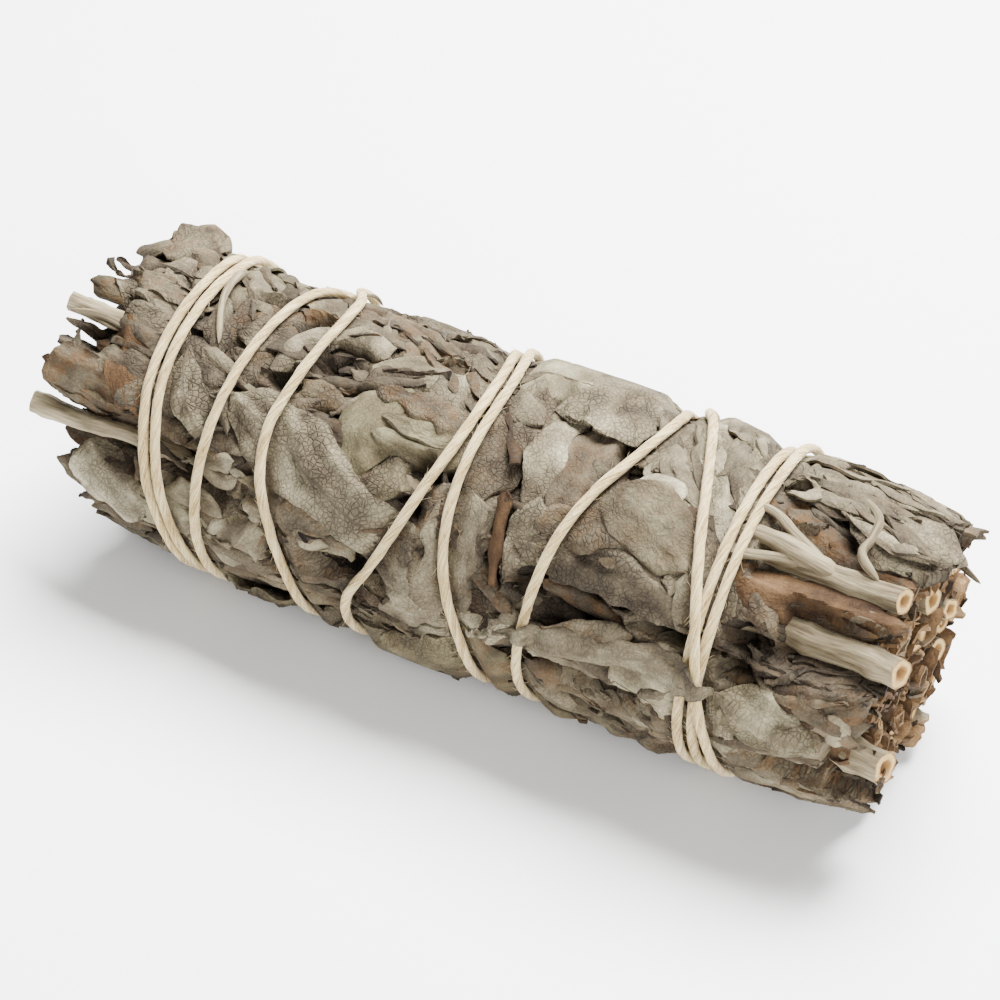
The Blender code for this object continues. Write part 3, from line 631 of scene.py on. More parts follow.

# %% [markdown]
# ## Inner leaves
# Behind the leaves that are seen lie others, seen only through the gaps. They are brown and darker than the
# leaves outside them, and painted shade darkens them further the deeper they lie. They are scattered by a
# rule: each one is turned on from the last by the golden angle, so that none line up. A dark brown core,
# darkened further by painted shade, closes what is left of the inside.

# %% The core and the inner leaves
draw = np.random.default_rng(SEED)
GOLDEN_X, GOLDEN_TURN = 0.7548777, 0.6180340  # steps that spread any number of points evenly over x and turn
K = dict  # a few settings of a leaf


def spread_out(number, first, last, golden, start=0.0):
    """The place of a numbered leaf between two ends, when each one moves on by the golden step."""
    return first + (last - first) * ((number * golden + start) % 1.0)


def way_over(x, turn, slant, half, low, high, bow=0.0):
    """A way through a place, at a slant in degrees, half of it in mm to each side and all between two x."""
    dx, dt = half * math.cos(math.radians(slant)), half * math.sin(math.radians(slant)) / ARC
    return [(max(low, x - dx), turn - dt), (x, turn + bow), (min(high, x + dx), turn + dt)]


def make_core(shape):
    """A closed lumpy roll, drawn in at both ends."""
    rows, columns = 60, 41
    x = np.linspace(-46.0, 49.4, rows)[:, None]
    turn = np.linspace(360.0, 0.0, columns)[None, :]
    aside, above = np.sin(np.radians(turn)), np.cos(np.radians(turn))
    bumps = 0.6 * wander(x / 5.0, 3.0 * aside, 3) + 0.6 * wander(x / 5.0, 3.0 * above, 4)
    radius = 12.4 + bumps - 0.5 * crested(x / 9.0, 7.0 * aside, 5)
    closing = np.sqrt(np.clip((47.8 - np.abs(x - 1.7)) / 2.0, 0.0, 1.0))
    radius = np.maximum(radius * closing, 0.02 + 0 * turn)
    # painted shade: the core is darkened as if it lay deep in the bundle, besides its brown
    marks = {name: np.full(radius.shape, K(rust=1.0, deep=0.7, net=0.5).get(name, 0.0)) for name in LAYERS}
    marks["tone"] = 0.3 + 0.05 * bumps + 0.24 * np.clip((x - 45.0) / 3.0, 0.0, 1.0)
    place = np.stack(np.broadcast_arrays(x, turn * 0.22, 3.0 + 0 * radius), axis=-1)
    made = add_sheet(shape, on_bundle(x, turn, radius), marks, place)
    bmesh.ops.remove_doubles(shape, verts=made, dist=0.03 * MM)
    pile.add(x + 0 * turn, turn + 0 * x, radius)


def scatter(shape, count, lift, tone, cell, first, last, length, width):
    """Leaves by the golden angle, between two turns."""
    for number in range(count):
        x, turn = spread_out(number, -44.0, 44.0, GOLDEN_X), spread_out(number, first, last, GOLDEN_TURN)
        slant, half, wide = draw.uniform(-42, 42), 0.5 * draw.uniform(*length), draw.uniform(*width)
        path = way_over(x, turn, slant, half, -49.5, 50.5, draw.uniform(-6, 6))
        lay_leaf(
            shape, path, [0.5 * wide, wide, wide, 0.6 * wide], cell=cell, lift=(lift + draw.uniform(-0.4, 0.4),),
            tilt=(draw.uniform(-16, 16), draw.uniform(-16, 16)), keel=draw.uniform(-50, 50), cup=draw.uniform(-50, 25),
            curl=(draw.uniform(-80, 120), draw.uniform(-80, 120)), crumple=0.7, ribs=0.3, low=True,
            tone=draw.uniform(*tone), rust=draw.uniform(0.0, 0.7), net=0.7,
        )


def slivers(shape, count, first, last):
    """Narrow rolled leaves and stalks that fill the cracks between the larger ones."""
    for number in range(count):
        x, turn = spread_out(number, -45.0, 46.0, GOLDEN_X, 0.31), spread_out(number, first, last, GOLDEN_TURN, 0.17)
        slant, half, wide = draw.uniform(-38, 38), 0.5 * draw.uniform(9, 19), draw.uniform(1.3, 3.0)
        path = way_over(x, turn, slant, half, -50.0, 51.0, draw.uniform(-4, 4))
        lay_leaf(
            shape, path, [0.7 * wide, wide, 0.8 * wide], cell=0.68, cup=draw.choice([-150, -120, -90]), ribs=0.25,
            lift=(draw.uniform(-1.6, -0.7),), ends=(3.0, 3.0), low=True, midrib=0.0, net=0.3, free=True,
            tone=draw.uniform(0.36, 0.72), rust=draw.uniform(0.0, 0.9),
        )


inner = new_shape()
make_core(inner)
scatter(inner, 50, -4.0, (0.3, 0.5), 1.7, 0, 360, (18, 28), (8, 12))
scatter(inner, 64, -2.7, (0.36, 0.6), 1.35, 0, 360, (15, 26), (6, 10))
under = new_shape()
scatter(under, 40, -1.8, (0.42, 0.66), 1.2, -54, 120, (18, 30), (8, 12))
slivers(under, 64, -54, 120)
print("inner leaves: %d faces, and %d under the near ones" % (len(inner.faces), len(under.faces)))

# %% [markdown]
# ## The leaves that are seen
# On the side of the photograph each leaf is placed one by one: its way over the bundle, its width along that
# way, and its style. They are laid in the order of the table, so a later leaf lies on an earlier one. A dome
# is a leaf rolled so far that its back shows, and a curled margin shows its paler underside.

# %% Near leaves, one by one: x and turn of the way, widths, style
ROLL = K(cup=-100, ribs=0.32, crumple=0.5, net=0.3, ragged=0.2, free=True, ends=(3.0, 3.0), midrib=0.1)
FLAT = K(crumple=0.7, net=0.9)
DARK = K(ROLL, cup=-105, ragged=0.06, ribs=0.4, crumple=0.35, rust=0.6, ends=(4.0, 3.0))
SMOOTH = K(cup=-26, crumple=0.5, net=0.35, green=0.5, ribs=0.2)
CURLED = K(cup=-10, crumple=0.7, curl=(150, 120), curl_width=1.7, ruffle=0.4)
NEAR_LEAVES = (
    # upper left, seen edge-on along the top
    ([(-50.0, -50), (-48.5, -25), (-47.0, -4)], [5, 6, 6, 4], K(FLAT, lift=(-0.6,), keel=50, tone=0.52, rust=0.4)),
    ([(-45.5, -52), (-44.0, -25), (-43.0, 0)], [5, 7, 6, 4], K(FLAT, lift=(-0.3,), keel=-45, tone=0.66)),
    ([(-41.0, -50), (-40.6, -20), (-39.6, 2)], [4, 5, 4], K(FLAT, lift=(-0.3,), tone=0.6, ribs=0.5)),
    ([(-37.6, -50), (-36.6, -25), (-34.2, -2)], [5, 5, 4.4, 3], K(SMOOTH, lift=(-0.2,), tone=0.68, keel=-30)),
    ([(-32.5, -50), (-31.0, -34), (-30.4, -22)], [5, 6, 5], K(SMOOTH, lift=(-0.9,), tone=0.5, rust=0.3)),
    ([(-25.5, -54), (-25.4, -34), (-25.0, -13)], [8, 8.5, 7.5, 5], K(SMOOTH, lift=(0.1,), tone=0.76, ends=(0, 4))),
    ([(-18.5, -54), (-18.0, -40), (-17.0, -26)], [6, 7, 5], K(FLAT, lift=(-0.5,), tone=0.55, rust=0.3, ribs=0.4)),
    ([(-12.0, -54), (-10.5, -42), (-8.8, -28)], [6, 5, 4], K(FLAT, lift=(-0.5,), tone=0.42, rust=0.5, keel=40)),
    ([(-5.0, -56), (-4.6, -38), (-4.2, -18)], [7, 7, 6, 5], K(FLAT, lift=(-0.2,), tone=0.66, ribs=0.4)),
    ([(3.4, -56), (3.6, -34), (4.2, -12)], [9, 9, 8.5, 7], K(SMOOTH, lift=(0.0,), tone=0.72, ribs=0.25, ends=(0, 3))),
    ([(20.4, -56), (20.6, -30), (20.8, 4)], [6, 6, 5, 4], K(FLAT, lift=(-0.4,), tone=0.66, ribs=0.6, cup=-40)),
    # left end
    ([(-47.6, -14), (-46.0, -25), (-45.2, -38)], [4, 5.4, 5],
     K(ROLL, cup=-80, lift=(0.0, 1.6, 2.2), proud=3.0, tone=0.56, rust=0.5, crumple=1.4, net=0.9)),
    ([(-49.6, -30), (-46.4, -34), (-42.4, -33)], [4, 7.6, 6.6, 3],
     K(ROLL, cup=-80, keel=-40, lift=(0.9, 3.0, 1.2), proud=3.4, tone=0.6, rust=0.5, net=1.0, crumple=1.5,
       ragged=0.35)),
    ([(-42.8, -43), (-41.4, -34), (-40.9, -24)], [2.4, 3.2, 2.6],
     K(ROLL, lift=(0.8, 1.3, 0.6), proud=1.5, tone=0.62, rust=0.5)),
    ([(-53.4, 9), (-50, 10), (-45.5, 11)], [6.0, 6.6, 6],
     K(ROLL, lift=(0.1, -0.3), tone=0.56, rust=0.8, green=0.5, ragged=0.06, ends=(1.6, 3))),
    ([(-49.8, -5), (-47.2, 3), (-46.0, 13)], [2.6, 4, 3.6], K(ROLL, lift=(-0.4,), tone=0.5, rust=0.3)),
    ([(-48, 7), (-44, 8), (-39.5, 9)], [5, 8, 8, 6], K(lift=(-0.6, -0.1), crumple=1.2, ruffle=0.7, net=1, tone=0.6)),
    ([(-46.5, 2), (-43.5, 5), (-40.5, 3)], [2, 3, 3], K(CURLED, lift=(0.5, 0.9, 0.4), crumple=1.0, tone=0.66, net=1)),
    ([(-45.5, 12), (-42.5, 14), (-40.0, 12)], [2, 3.4, 2.6], K(CURLED, lift=(0.3, 0.8), crumple=1.0, tone=0.64, net=1)),
    ([(-46.0, 21), (-40.5, 24), (-38.4, 25)], [5, 7, 6], K(FLAT, lift=(-0.3,), tone=0.55, net=1, crumple=0.8)),
    ([(-51.4, 28), (-50.8, 36), (-50.0, 46)], [1.8, 2.2, 3], K(ROLL, lift=(-0.2,), tone=0.55, net=0.8)),
    ([(-48.8, 34), (-46, 36), (-43.0, 39)], [4, 5, 4],
     K(ROLL, lift=(-1.3, -0.9), tone=0.48, rust=0.9, green=0.6, ragged=0.05)),
    ([(-49.6, 61), (-46, 62), (-43.0, 63)], [1.4, 2, 2], K(lift=(-1.2,), crumple=1.0, tone=0.6, rust=1.8, ragged=0.4)),
    ([(-49.6, 44), (-45, 48), (-40.6, 53)], [2.5, 4.4, 4, 3], K(FLAT, lift=(0.0,), tone=0.6, net=1, curl=(70, 0))),
    ([(-53.5, 49), (-46, 52), (-37.0, 56)], [6.4, 7.6, 8, 7],
     K(ROLL, cup=-80, keel=75, lift=(0.2, 0.4), tone=0.54, rust=0.9, ragged=0.06, ends=(2, 3))),
    ([(-44.4, 28), (-43.0, 40), (-40.8, 53)], [5.4, 6.2, 6.2, 5.4],
     K(FLAT, lift=(0.4,), tone=0.53, rust=1.9, net=0.3, keel=-30)),
    ([(-44.0, 63), (-40, 66), (-32.0, 72)], [2.0, 3.0, 3, 2], K(ROLL, lift=(-0.9,), tone=0.5, ribs=0.5)),
    ([(-43, 64), (-40, 66), (-37, 68)], [2, 4, 3], K(FLAT, lift=(-1.4,), tone=0.4, rust=0.3)),
    ([(-41.0, 78), (-38.6, 84), (-38.2, 94)], [3, 4, 3], K(FLAT, lift=(-0.8,), tone=0.5, rust=0.4)),
    ([(-42, 99), (-36, 98), (-28.0, 99)], [3, 6, 6, 5], K(SMOOTH, lift=(-0.1,), tone=0.82, rust=0.1)),
    # between the left strands
    ([(-32.6, -12), (-31.2, 6), (-30.0, 26)], [6, 8, 8, 6], K(FLAT, lift=(-0.5,), tone=0.5, rust=0.8, net=1)),
    ([(-36.6, 0), (-35.4, 10), (-34.0, 23)], [3, 4, 3.4], K(FLAT, lift=(-0.2,), tone=0.6, net=1)),
    ([(-39.0, 56), (-33.0, 56), (-27.0, 58)], [4, 5.4, 5], K(FLAT, lift=(-0.6,), tone=0.56, rust=0.4)),
    ([(-32.0, 34), (-31.0, 38), (-29.0, 47)], [2, 3, 3], K(FLAT, lift=(-0.1,), tone=0.7)),
    ([(-35.6, 82), (-31, 83.5), (-26.6, 84)], [4.4, 4.6, 4], K(ROLL, lift=(0.0,), tone=0.74, crumple=0.2)),
    ([(-32.8, 67), (-30.0, 65), (-26.0, 60)], [2.6, 4.2, 4.0], K(ROLL, lift=(-0.3, 0.2), tone=0.74, rust=0.0)),
    ([(-30.0, 68), (-27.0, 71), (-25.4, 66)], [2, 3, 2], K(ROLL, lift=(-0.6,), tone=0.7)),
    ([(-24.4, 82), (-23.6, 73), (-22.4, 62)], [7, 5, 1.2], K(SMOOTH, lift=(0.0,), tone=0.64, green=1.0, ragged=0.25)),
    ([(-27.8, 101), (-25.6, 90), (-23.4, 80)], [6, 6.4, 5.6], K(FLAT, lift=(0.15,), tone=0.78, net=0.3, ends=(1, 0.6))),
    ([(-20.4, 79), (-19.0, 88), (-18.4, 98)], [3, 3, 3], K(FLAT, lift=(-0.2,), tone=0.7)),
    # the arch and the small leaves round its hole
    ([(-30.5, 10), (-27, 4), (-22.0, -4)], [5, 6, 6], K(FLAT, lift=(-0.4,), tone=0.62, net=1)),
    ([(-29.5, 22), (-26, 24), (-22.0, 26)], [4, 5, 4], K(FLAT, lift=(-0.7,), tone=0.5, rust=0.5, net=1)),
    ([(-21.6, 18), (-17, 17), (-12.5, 15)], [4, 5, 4], K(ROLL, lift=(-1.4, -0.9), tone=0.4, rust=0.5)),
    ([(-21.4, 24), (-19, 25), (-16.5, 26)], [2.4, 3, 2], K(FLAT, lift=(-0.8,), tone=0.56, rust=0.5, green=0.6)),
    ([(-19.4, 10), (-18.2, 6), (-17.0, 9), (-18.4, 12)], [1.4, 1.8, 1.4], K(ROLL, lift=(-2.0,), tone=0.44)),
    ([(-18.0, 5), (-15, 8), (-12.5, 10)], [1.4, 2.4, 2.2], K(ROLL, lift=(-0.9,), tone=0.55)),
    ([(-17.6, 10), (-14.6, 13), (-12.4, 14)], [1.4, 2.4, 2], K(ROLL, lift=(-0.9,), tone=0.5)),
    ([(-23.0, -46), (-14, -42), (-4.5, -36)], [3, 4.6, 5, 4], K(DARK, lift=(-0.2,), tone=0.56, rust=0.5)),
    ([(-22.5, -38), (-15, -34), (-5.0, -29)], [3, 5, 5, 4], K(DARK, lift=(-0.5,), tone=0.46)),
    ([(-21.5, -31), (-14, -26), (-5.0, -21)], [3, 5, 5, 3], K(DARK, lift=(-0.1,), tone=0.58)),
    ([(-20.0, -24), (-13, -19), (-4.5, -14)], [3, 4.6, 5, 3], K(DARK, lift=(-0.5,), tone=0.44, rust=0.8)),
    ([(-18.0, -15), (-12, -11), (-5.0, -7)], [3, 4.4, 4.6, 3], K(DARK, lift=(-0.1,), tone=0.56)),
    ([(-14.0, -9), (-10, -4), (-6.4, -1)], [2.4, 4, 3.6], K(DARK, lift=(-0.2,), tone=0.6, rust=0.5)),
    ([(-21.0, -44), (-18.5, -34), (-17.2, -22)], [1.6, 2.2, 1.8], K(ROLL, lift=(0.4,), tone=0.66, rust=0.4)),
    ([(-20.6, -36), (-16, -8), (-12.0, 11)], [1.8, 2.4, 2.4, 1.6], K(ROLL, lift=(0.5, 0.6, 0.1), tone=0.6, rust=0.8)),
    ([(-15.4, -28), (-13.8, -12), (-11.4, 2)], [1.6, 2.6, 2.4], K(ROLL, lift=(0.2,), tone=0.62, rust=0.7)),
    ([(-25.8, 23), (-25.0, 9), (-22.0, -3), (-17.5, -4.5), (-14.0, 3)], [5.2, 6.4, 6.4, 5.6, 3.4],
     K(ROLL, lift=(0.1, 0.5, 0.5, 0.3), tone=0.68, rust=0.1, net=0.6)),
    ([(-16.8, 31), (-13, 18), (-6.6, 4)], [1.4, 4.4, 5.0, 4.6], K(ROLL, cup=-90, lift=(-0.4, 0.3), tone=0.7, net=0.6)),
    ([(-13.4, 7), (-10.5, 3), (-7.2, 2)], [3, 4, 4], K(SMOOTH, lift=(-0.2,), tone=0.66)),
    # the green tongues
    ([(-7.0, 36), (-6.9, 44), (-7.2, 53)], [4, 5.6, 5, 2.6], K(FLAT, lift=(-0.6,), tone=0.56, net=1, green=0.7)),
    ([(-3.0, 36), (-2.8, 44), (-3.4, 52)], [2.6, 3.4, 2.4], K(FLAT, lift=(-1.1,), tone=0.36, rust=0.5)),
    ([(-9.8, 18), (-11.6, 31), (-11.4, 44)], [5, 6.8, 6.4, 3.4],
     K(SMOOTH, lift=(0.1, 0.3, -0.2), tone=0.62, green=1.0, net=0.35)),
    ([(-8.8, 32), (-4, 32), (0.5, 29)], [2.6, 5.0, 4.6], K(SMOOTH, lift=(0.0,), tone=0.64, green=0.9, keel=-50)),
    ([(-8.6, 24), (-4, 21), (0.5, 16)], [3, 5.6, 5.4],
     K(SMOOTH, lift=(0.2,), tone=0.66, green=0.9, keel=-60, curl=(0, 60))),
    ([(-4.6, -18), (-3.8, -2), (-3.0, 15)], [6.4, 6.8, 6.8, 5.6], K(FLAT, lift=(0.1,), tone=0.72, net=1)),
    # below the large veined leaf
    ([(-19.0, 93), (-13, 92), (-5.0, 94)], [7, 10, 10, 8], K(FLAT, lift=(-0.4,), tone=0.54, rust=0.6, net=1)),
    # a nearly black leaf pressed deep into the gap under the large veined leaf: painted shade
    ([(-14.0, 78), (-11.0, 84), (-6.4, 82)], [2.4, 3.0, 3], K(FLAT, lift=(-2.6,), tone=0.2, rust=0.5)),
    ([(-18.6, 74), (-15.5, 78), (-12.4, 79)], [1.8, 2.6, 2], K(ROLL, lift=(-0.6,), tone=0.7, green=0.5)),
    ([(-8.0, 90), (-5.0, 84), (-2.0, 86)], [2.6, 4, 4], K(CURLED, lift=(-0.3,), tone=0.6, rust=0.3, net=0.9)),
    ([(-4.0, 99), (2, 95), (7.4, 91)], [6, 8.4, 8, 6], K(FLAT, lift=(-0.1,), crumple=0.9, tone=0.7, net=0.7)),
    ([(-3.0, 108), (3, 107), (9.0, 106)], [5, 6.6, 6], K(FLAT, lift=(-0.2,), tone=0.7)),
    ([(-19.8, 33), (-15, 40), (-11.4, 51), (-3.0, 58)], [2.4, 3.4, 3.4, 2.2],
     K(ROLL, lift=(-0.6, -0.4), tone=0.3, rust=0.7)),
    # middle
    ([(3.6, -6), (4.2, 14), (3.6, 39)], [6.4, 7.2, 7.4, 7], K(FLAT, lift=(0.0,), tone=0.6, net=1, rust=0.4)),
    # a thin, nearly black roll that stands for the shade in the slit of a crease: painted shade
    ([(1.4, 2), (3.8, 14), (6.2, 26)], [0.8, 1.2, 1.4, 1.0], K(ROLL, lift=(0.0, 0.25, 0.0), tone=0.26, rust=1.2)),
    ([(13.2, 0), (13.2, 18), (12.8, 38)], [6, 8, 8, 7], K(SMOOTH, lift=(-0.8,), tone=0.54, rust=0.5, green=0.0)),
    ([(8.8, -20), (8.6, 8), (8.8, 37)], [3.6, 3.6, 4.6, 3.0], K(FLAT, lift=(0.0,), tone=0.72, ragged=0.4, net=0.7)),
    ([(7.0, 39), (9.6, 38.5), (12.8, 36)], [1.5, 1.9, 1.8], K(ROLL, lift=(0.1,), tone=0.3, rust=0.5, green=0.6)),
    ([(10.6, 40), (10.6, 50), (9.8, 60)], [4.6, 5, 4, 2.4], K(FLAT, lift=(-0.3,), tone=0.7, net=1, keel=40)),
    ([(6.7, 36), (7.5, 52), (8.4, 70)], [2.1, 2.1, 2.1, 2.0],
     K(ROLL, cup=-50, lift=(0.4,), tone=0.4, rust=2.0, net=0.1, ragged=0.03, crumple=0.12, ribs=0.1, ends=(0.4, 0.4))),
    ([(12.4, 66), (14.6, 64), (17.0, 63)], [2, 3, 2.4], K(FLAT, lift=(-0.7,), tone=0.6)),
    ([(13.4, 62), (18, 66), (24.0, 69)], [3, 4.4, 4], K(ROLL, cup=-80, lift=(-1.7,), tone=0.6, rust=0.9, green=0.0)),
    ([(11.6, 51), (18, 50), (26, 53), (32.6, 62)], [5.0, 7, 6.4, 4.4, 1.0],
     K(FLAT, lift=(-0.2, 0.0), tone=0.6, net=0.9, ribs=0.35)),
    ([(14.0, 86), (20, 90), (28.0, 95)], [3, 4.6, 4, 3], K(FLAT, lift=(-0.6,), tone=0.5, rust=0.8)),
    ([(21.0, 66), (27, 70), (33.6, 74)], [3, 5.2, 5.4, 5], K(FLAT, lift=(-0.1,), tone=0.6, net=0.9, rust=0.3)),
    ([(7.8, 91), (10.5, 88), (13.6, 84)], [3.4, 4.2, 3], K(FLAT, lift=(-0.1,), tone=0.8, curl=(60, 60))),
    ([(13.4, 95), (14.8, 103), (16.6, 113)], [4, 5.0, 4], K(ROLL, lift=(-0.2,), cup=-80, tone=0.52, rust=0.7)),
    ([(21.5, 104), (24, 106), (29.0, 110)], [4, 6, 6], K(FLAT, lift=(-0.6,), tone=0.5, rust=0.5)),
    ([(24.8, 86), (28.6, 95), (31.6, 106)], [5, 7.4, 7.4, 6], K(SMOOTH, lift=(-0.1,), tone=0.8, green=0.4)),
    # upper right
    ([(20.6, -44), (23.6, -20), (27.4, 9)], [4, 4.4, 4, 3], K(FLAT, cup=-55, lift=(0.0,), tone=0.7, ribs=0.5)),
    ([(24.6, -48), (27.6, -25), (30.4, 6)], [4, 4.6, 4, 3], K(FLAT, cup=-45, lift=(0.1,), tone=0.64, ribs=0.5)),
    ([(29.4, -48), (30.8, -25), (31.6, 0)], [3.6, 4.4, 3.6], K(FLAT, cup=-45, lift=(-0.1,), tone=0.62, ribs=0.5)),
    ([(29.8, -30), (30.6, -10), (31.4, 10)], [1.2, 1.3, 1.2], K(ROLL, lift=(0.5,), tone=0.6, rust=0.2)),
    ([(18.4, 3), (21.6, 7), (25.0, 14)], [3, 4.6, 3.4], K(ROLL, lift=(0.2,), cup=-80, tone=0.74)),
    ([(21.4, 25), (20.8, 17), (24.0, 14), (25.4, 20)], [1.6, 2.4, 2.4, 1.8], K(ROLL, lift=(0.4, 0.6, 0.4), tone=0.8)),
    ([(24.0, 25), (27, 17), (33.0, 15)], [2.6, 2.8, 2.4], K(ROLL, lift=(0.3,), tone=0.76, green=0.5)),
    ([(24.6, 24), (26.6, 29), (28.6, 36)], [3, 3.6, 1.6], K(FLAT, lift=(-0.1,), tone=0.66)),
    ([(26.4, 19), (30, 22), (34.0, 24)], [1.2, 1.8, 1.8], K(ROLL, lift=(-0.2,), tone=0.4, rust=0.7)),
    ([(28.6, 27), (29.4, 34), (29.0, 43)], [4.4, 5.2, 4], K(FLAT, lift=(-0.2,), tone=0.62, rust=0.3)),
    ([(31.4, 34), (32.8, 46), (33.2, 62)], [5, 8, 8.4, 5], K(FLAT, lift=(-0.2,), tone=0.62, net=0.7)),
    ([(33.6, 61), (35.4, 68), (35.8, 79)], [4.6, 4.0, 3.6], K(FLAT, lift=(-0.2,), tone=0.62)),
    ([(35.0, -46), (35.4, -30), (36.0, -18)], [7, 7, 6], K(FLAT, lift=(-0.3,), tone=0.66, ribs=0.4)),
    ([(33.6, 0), (36.5, 4), (40.5, 9)], [5, 6.6, 6], K(SMOOTH, lift=(-0.8,), tone=0.5, rust=1.1, green=0.0)),
    ([(38.0, 6), (43.5, 11), (50.4, 14)], [4, 6.6, 6, 4], K(SMOOTH, lift=(-0.8,), tone=0.5, rust=1.2, green=0.0)),
    ([(37.6, -2), (43.5, 4), (51.4, 11)], [2.4, 3.2, 2.8], K(ROLL, lift=(-0.3,), tone=0.4, ribs=0.6, rust=0.0)),
    ([(38.0, -42), (45, -38), (52.0, -33)], [5, 7, 6.4, 4],
     K(FLAT, lift=(-0.3, -0.5), tone=0.55, rust=0.4, curl=(90, 0))),
    ([(39.0, -36), (47, -31), (55.0, -28)], [5, 6.6, 5.6, 4],
     K(ROLL, cup=-70, lift=(-0.2, 0.3, 0.4), proud=1.0, tone=0.58, rust=0.3, ends=(3, 0))),
    ([(37.5, -20), (44.0, -14), (51.6, -10)], [4, 6.6, 6.6, 5], K(FLAT, lift=(-0.1,), tone=0.64, ribs=0.4)),
    ([(42.4, -13), (47.6, -7), (52.8, -1)], [3, 7.6, 8.6, 6.4],
     K(FLAT, lift=(0.0,), tone=0.68, ragged=0.35, ends=(2, 0.5))),
    ([(33.9, -8), (35.4, -14), (37.6, -10), (37.0, -4), (34.8, -3)], [1.4, 2.0, 2.0, 1.6],
     K(ROLL, lift=(0.4,), tone=0.76)),
    # right, below the pale stem
    ([(38.2, 51), (38.8, 56), (38.6, 61)], [3.4, 4.4, 3.4], K(SMOOTH, lift=(-2.4,), tone=0.4, rust=0.9, green=0.0)),
    ([(35.4, 31), (38.0, 46), (38.4, 53)], [1.6, 4, 2.6], K(FLAT, lift=(-0.5,), tone=0.66)),
    ([(34.6, 34), (39, 37), (45, 34), (51.8, 32)], [3, 7.4, 6.6, 5.0, 3.4],
     K(SMOOTH, lift=(0.1,), cup=-40, tone=0.49, rust=1.8, green=0.0, crumple=0.35, ragged=0.08)),
    ([(39.6, 49), (44, 42), (47.5, 37.5), (52.4, 36)], [2, 3.2, 3.2, 2.6], K(ROLL, lift=(0.0,), tone=0.56, rust=0.3)),
    ([(38.4, 45), (40.0, 52), (41.8, 60)], [2.4, 2.6, 2.8, 1.6], K(FLAT, lift=(0.1,), tone=0.54, rust=0.5)),
    ([(38.0, 57), (41, 63), (46, 60), (52.0, 56)], [1.4, 2.6, 3.0, 2.2], K(ROLL, lift=(-0.6,), tone=0.5, rust=0.3)),
    ([(43.0, 60), (48, 57), (52.0, 53)], [2, 3, 2.4], K(ROLL, lift=(-1.0,), tone=0.42, rust=0.5)),
    ([(40.4, 68), (42.5, 69), (45.0, 70)], [3, 4, 3], K(ROLL, lift=(-0.2,), cup=-90, tone=0.58, rust=0.2)),
    ([(43.0, 66), (47, 64), (51.0, 61)], [3, 4.4, 4], K(CURLED, lift=(-0.5,), tone=0.52, rust=0.3)),
    ([(48.8, 70), (49.4, 77), (49.2, 85)], [2.8, 3.6, 2.8],
     K(ROLL, lift=(0.1,), cup=-80, tone=0.76, rust=0.3, ends=(1, 1.6))),
    ([(37.0, 102), (44, 100), (51.0, 104)], [5, 7.6, 7, 5], K(FLAT, lift=(-0.3,), tone=0.66, rust=0.5, crumple=0.9)),
    ([(40.0, 92), (44.5, 95), (50.0, 98)], [3, 4.4, 4], K(CURLED, lift=(-0.2,), tone=0.76, rust=0.2)),
    ([(36.4, 80), (37.0, 96), (37.8, 113)], [2.4, 3.4, 3.4], K(FLAT, lift=(-0.2,), tone=0.74)),
    ([(43.0, 116), (48, 116), (53.0, 113)], [5, 7, 6, 3], K(FLAT, lift=(-0.5,), tone=0.6, rust=0.7)),
    ([(38.0, 124), (45, 122), (52.0, 124)], [5, 7, 7, 4], K(FLAT, lift=(-0.5,), tone=0.62, rust=0.5)),
    ([(43.0, 108), (48, 106), (53.4, 101)], [4, 6, 5, 3], K(FLAT, lift=(-0.2,), tone=0.56, rust=0.9)),
    ([(42.0, 88), (47, 89), (52.6, 92)], [4, 5, 4.6, 3], K(ROLL, cup=-75, lift=(-0.1,), tone=0.68, rust=0.5)),
    ([(44.0, 77), (48.4, 78), (52.4, 80)], [3, 4, 4, 3], K(ROLL, cup=-75, lift=(-0.1,), tone=0.62, rust=0.6)),
)


def longer(path, by):
    """The way, with each end carried on by so many millimetres, to be tucked under its neighbours."""
    points = [Vector((x, turn * ARC)) for x, turn in path]
    first = points[0] + (points[0] - points[1]).normalized() * by
    last = points[-1] + (points[-1] - points[-2]).normalized() * by
    return [(first.x, first.y / ARC), *path, (last.x, last.y / ARC)]


near = {"left": new_shape(), "middle": new_shape(), "right": new_shape()}


def near_shape(x):
    """The mesh that a leaf of the near side goes into."""
    return near["left" if x < -15.0 else "middle" if x < 14.0 else "right"]


for path, widths, style in NEAR_LEAVES:
    shape = near_shape(path[1][0])
    if style.get("free"):
        lay_leaf(shape, path, widths, cell=0.43, **style)
    else:
        lay_leaf(shape, longer(path, 2.0), [1.2 * width for width in widths], cell=0.45, low=True, **style)
print("near leaves: %d laid, %d faces" % (len(NEAR_LEAVES), sum(len(shape.faces) for shape in near.values())))

# %% [markdown]
# Here and there the inside would show where no gap belongs. A wrapper tucks a small leaf into such a place, and
# so does this rule: it looks for the lowest place of the pile, until none is too low or sixty are laid.

# %% Small leaves tucked into hollows
MOST_TUCKED = 60


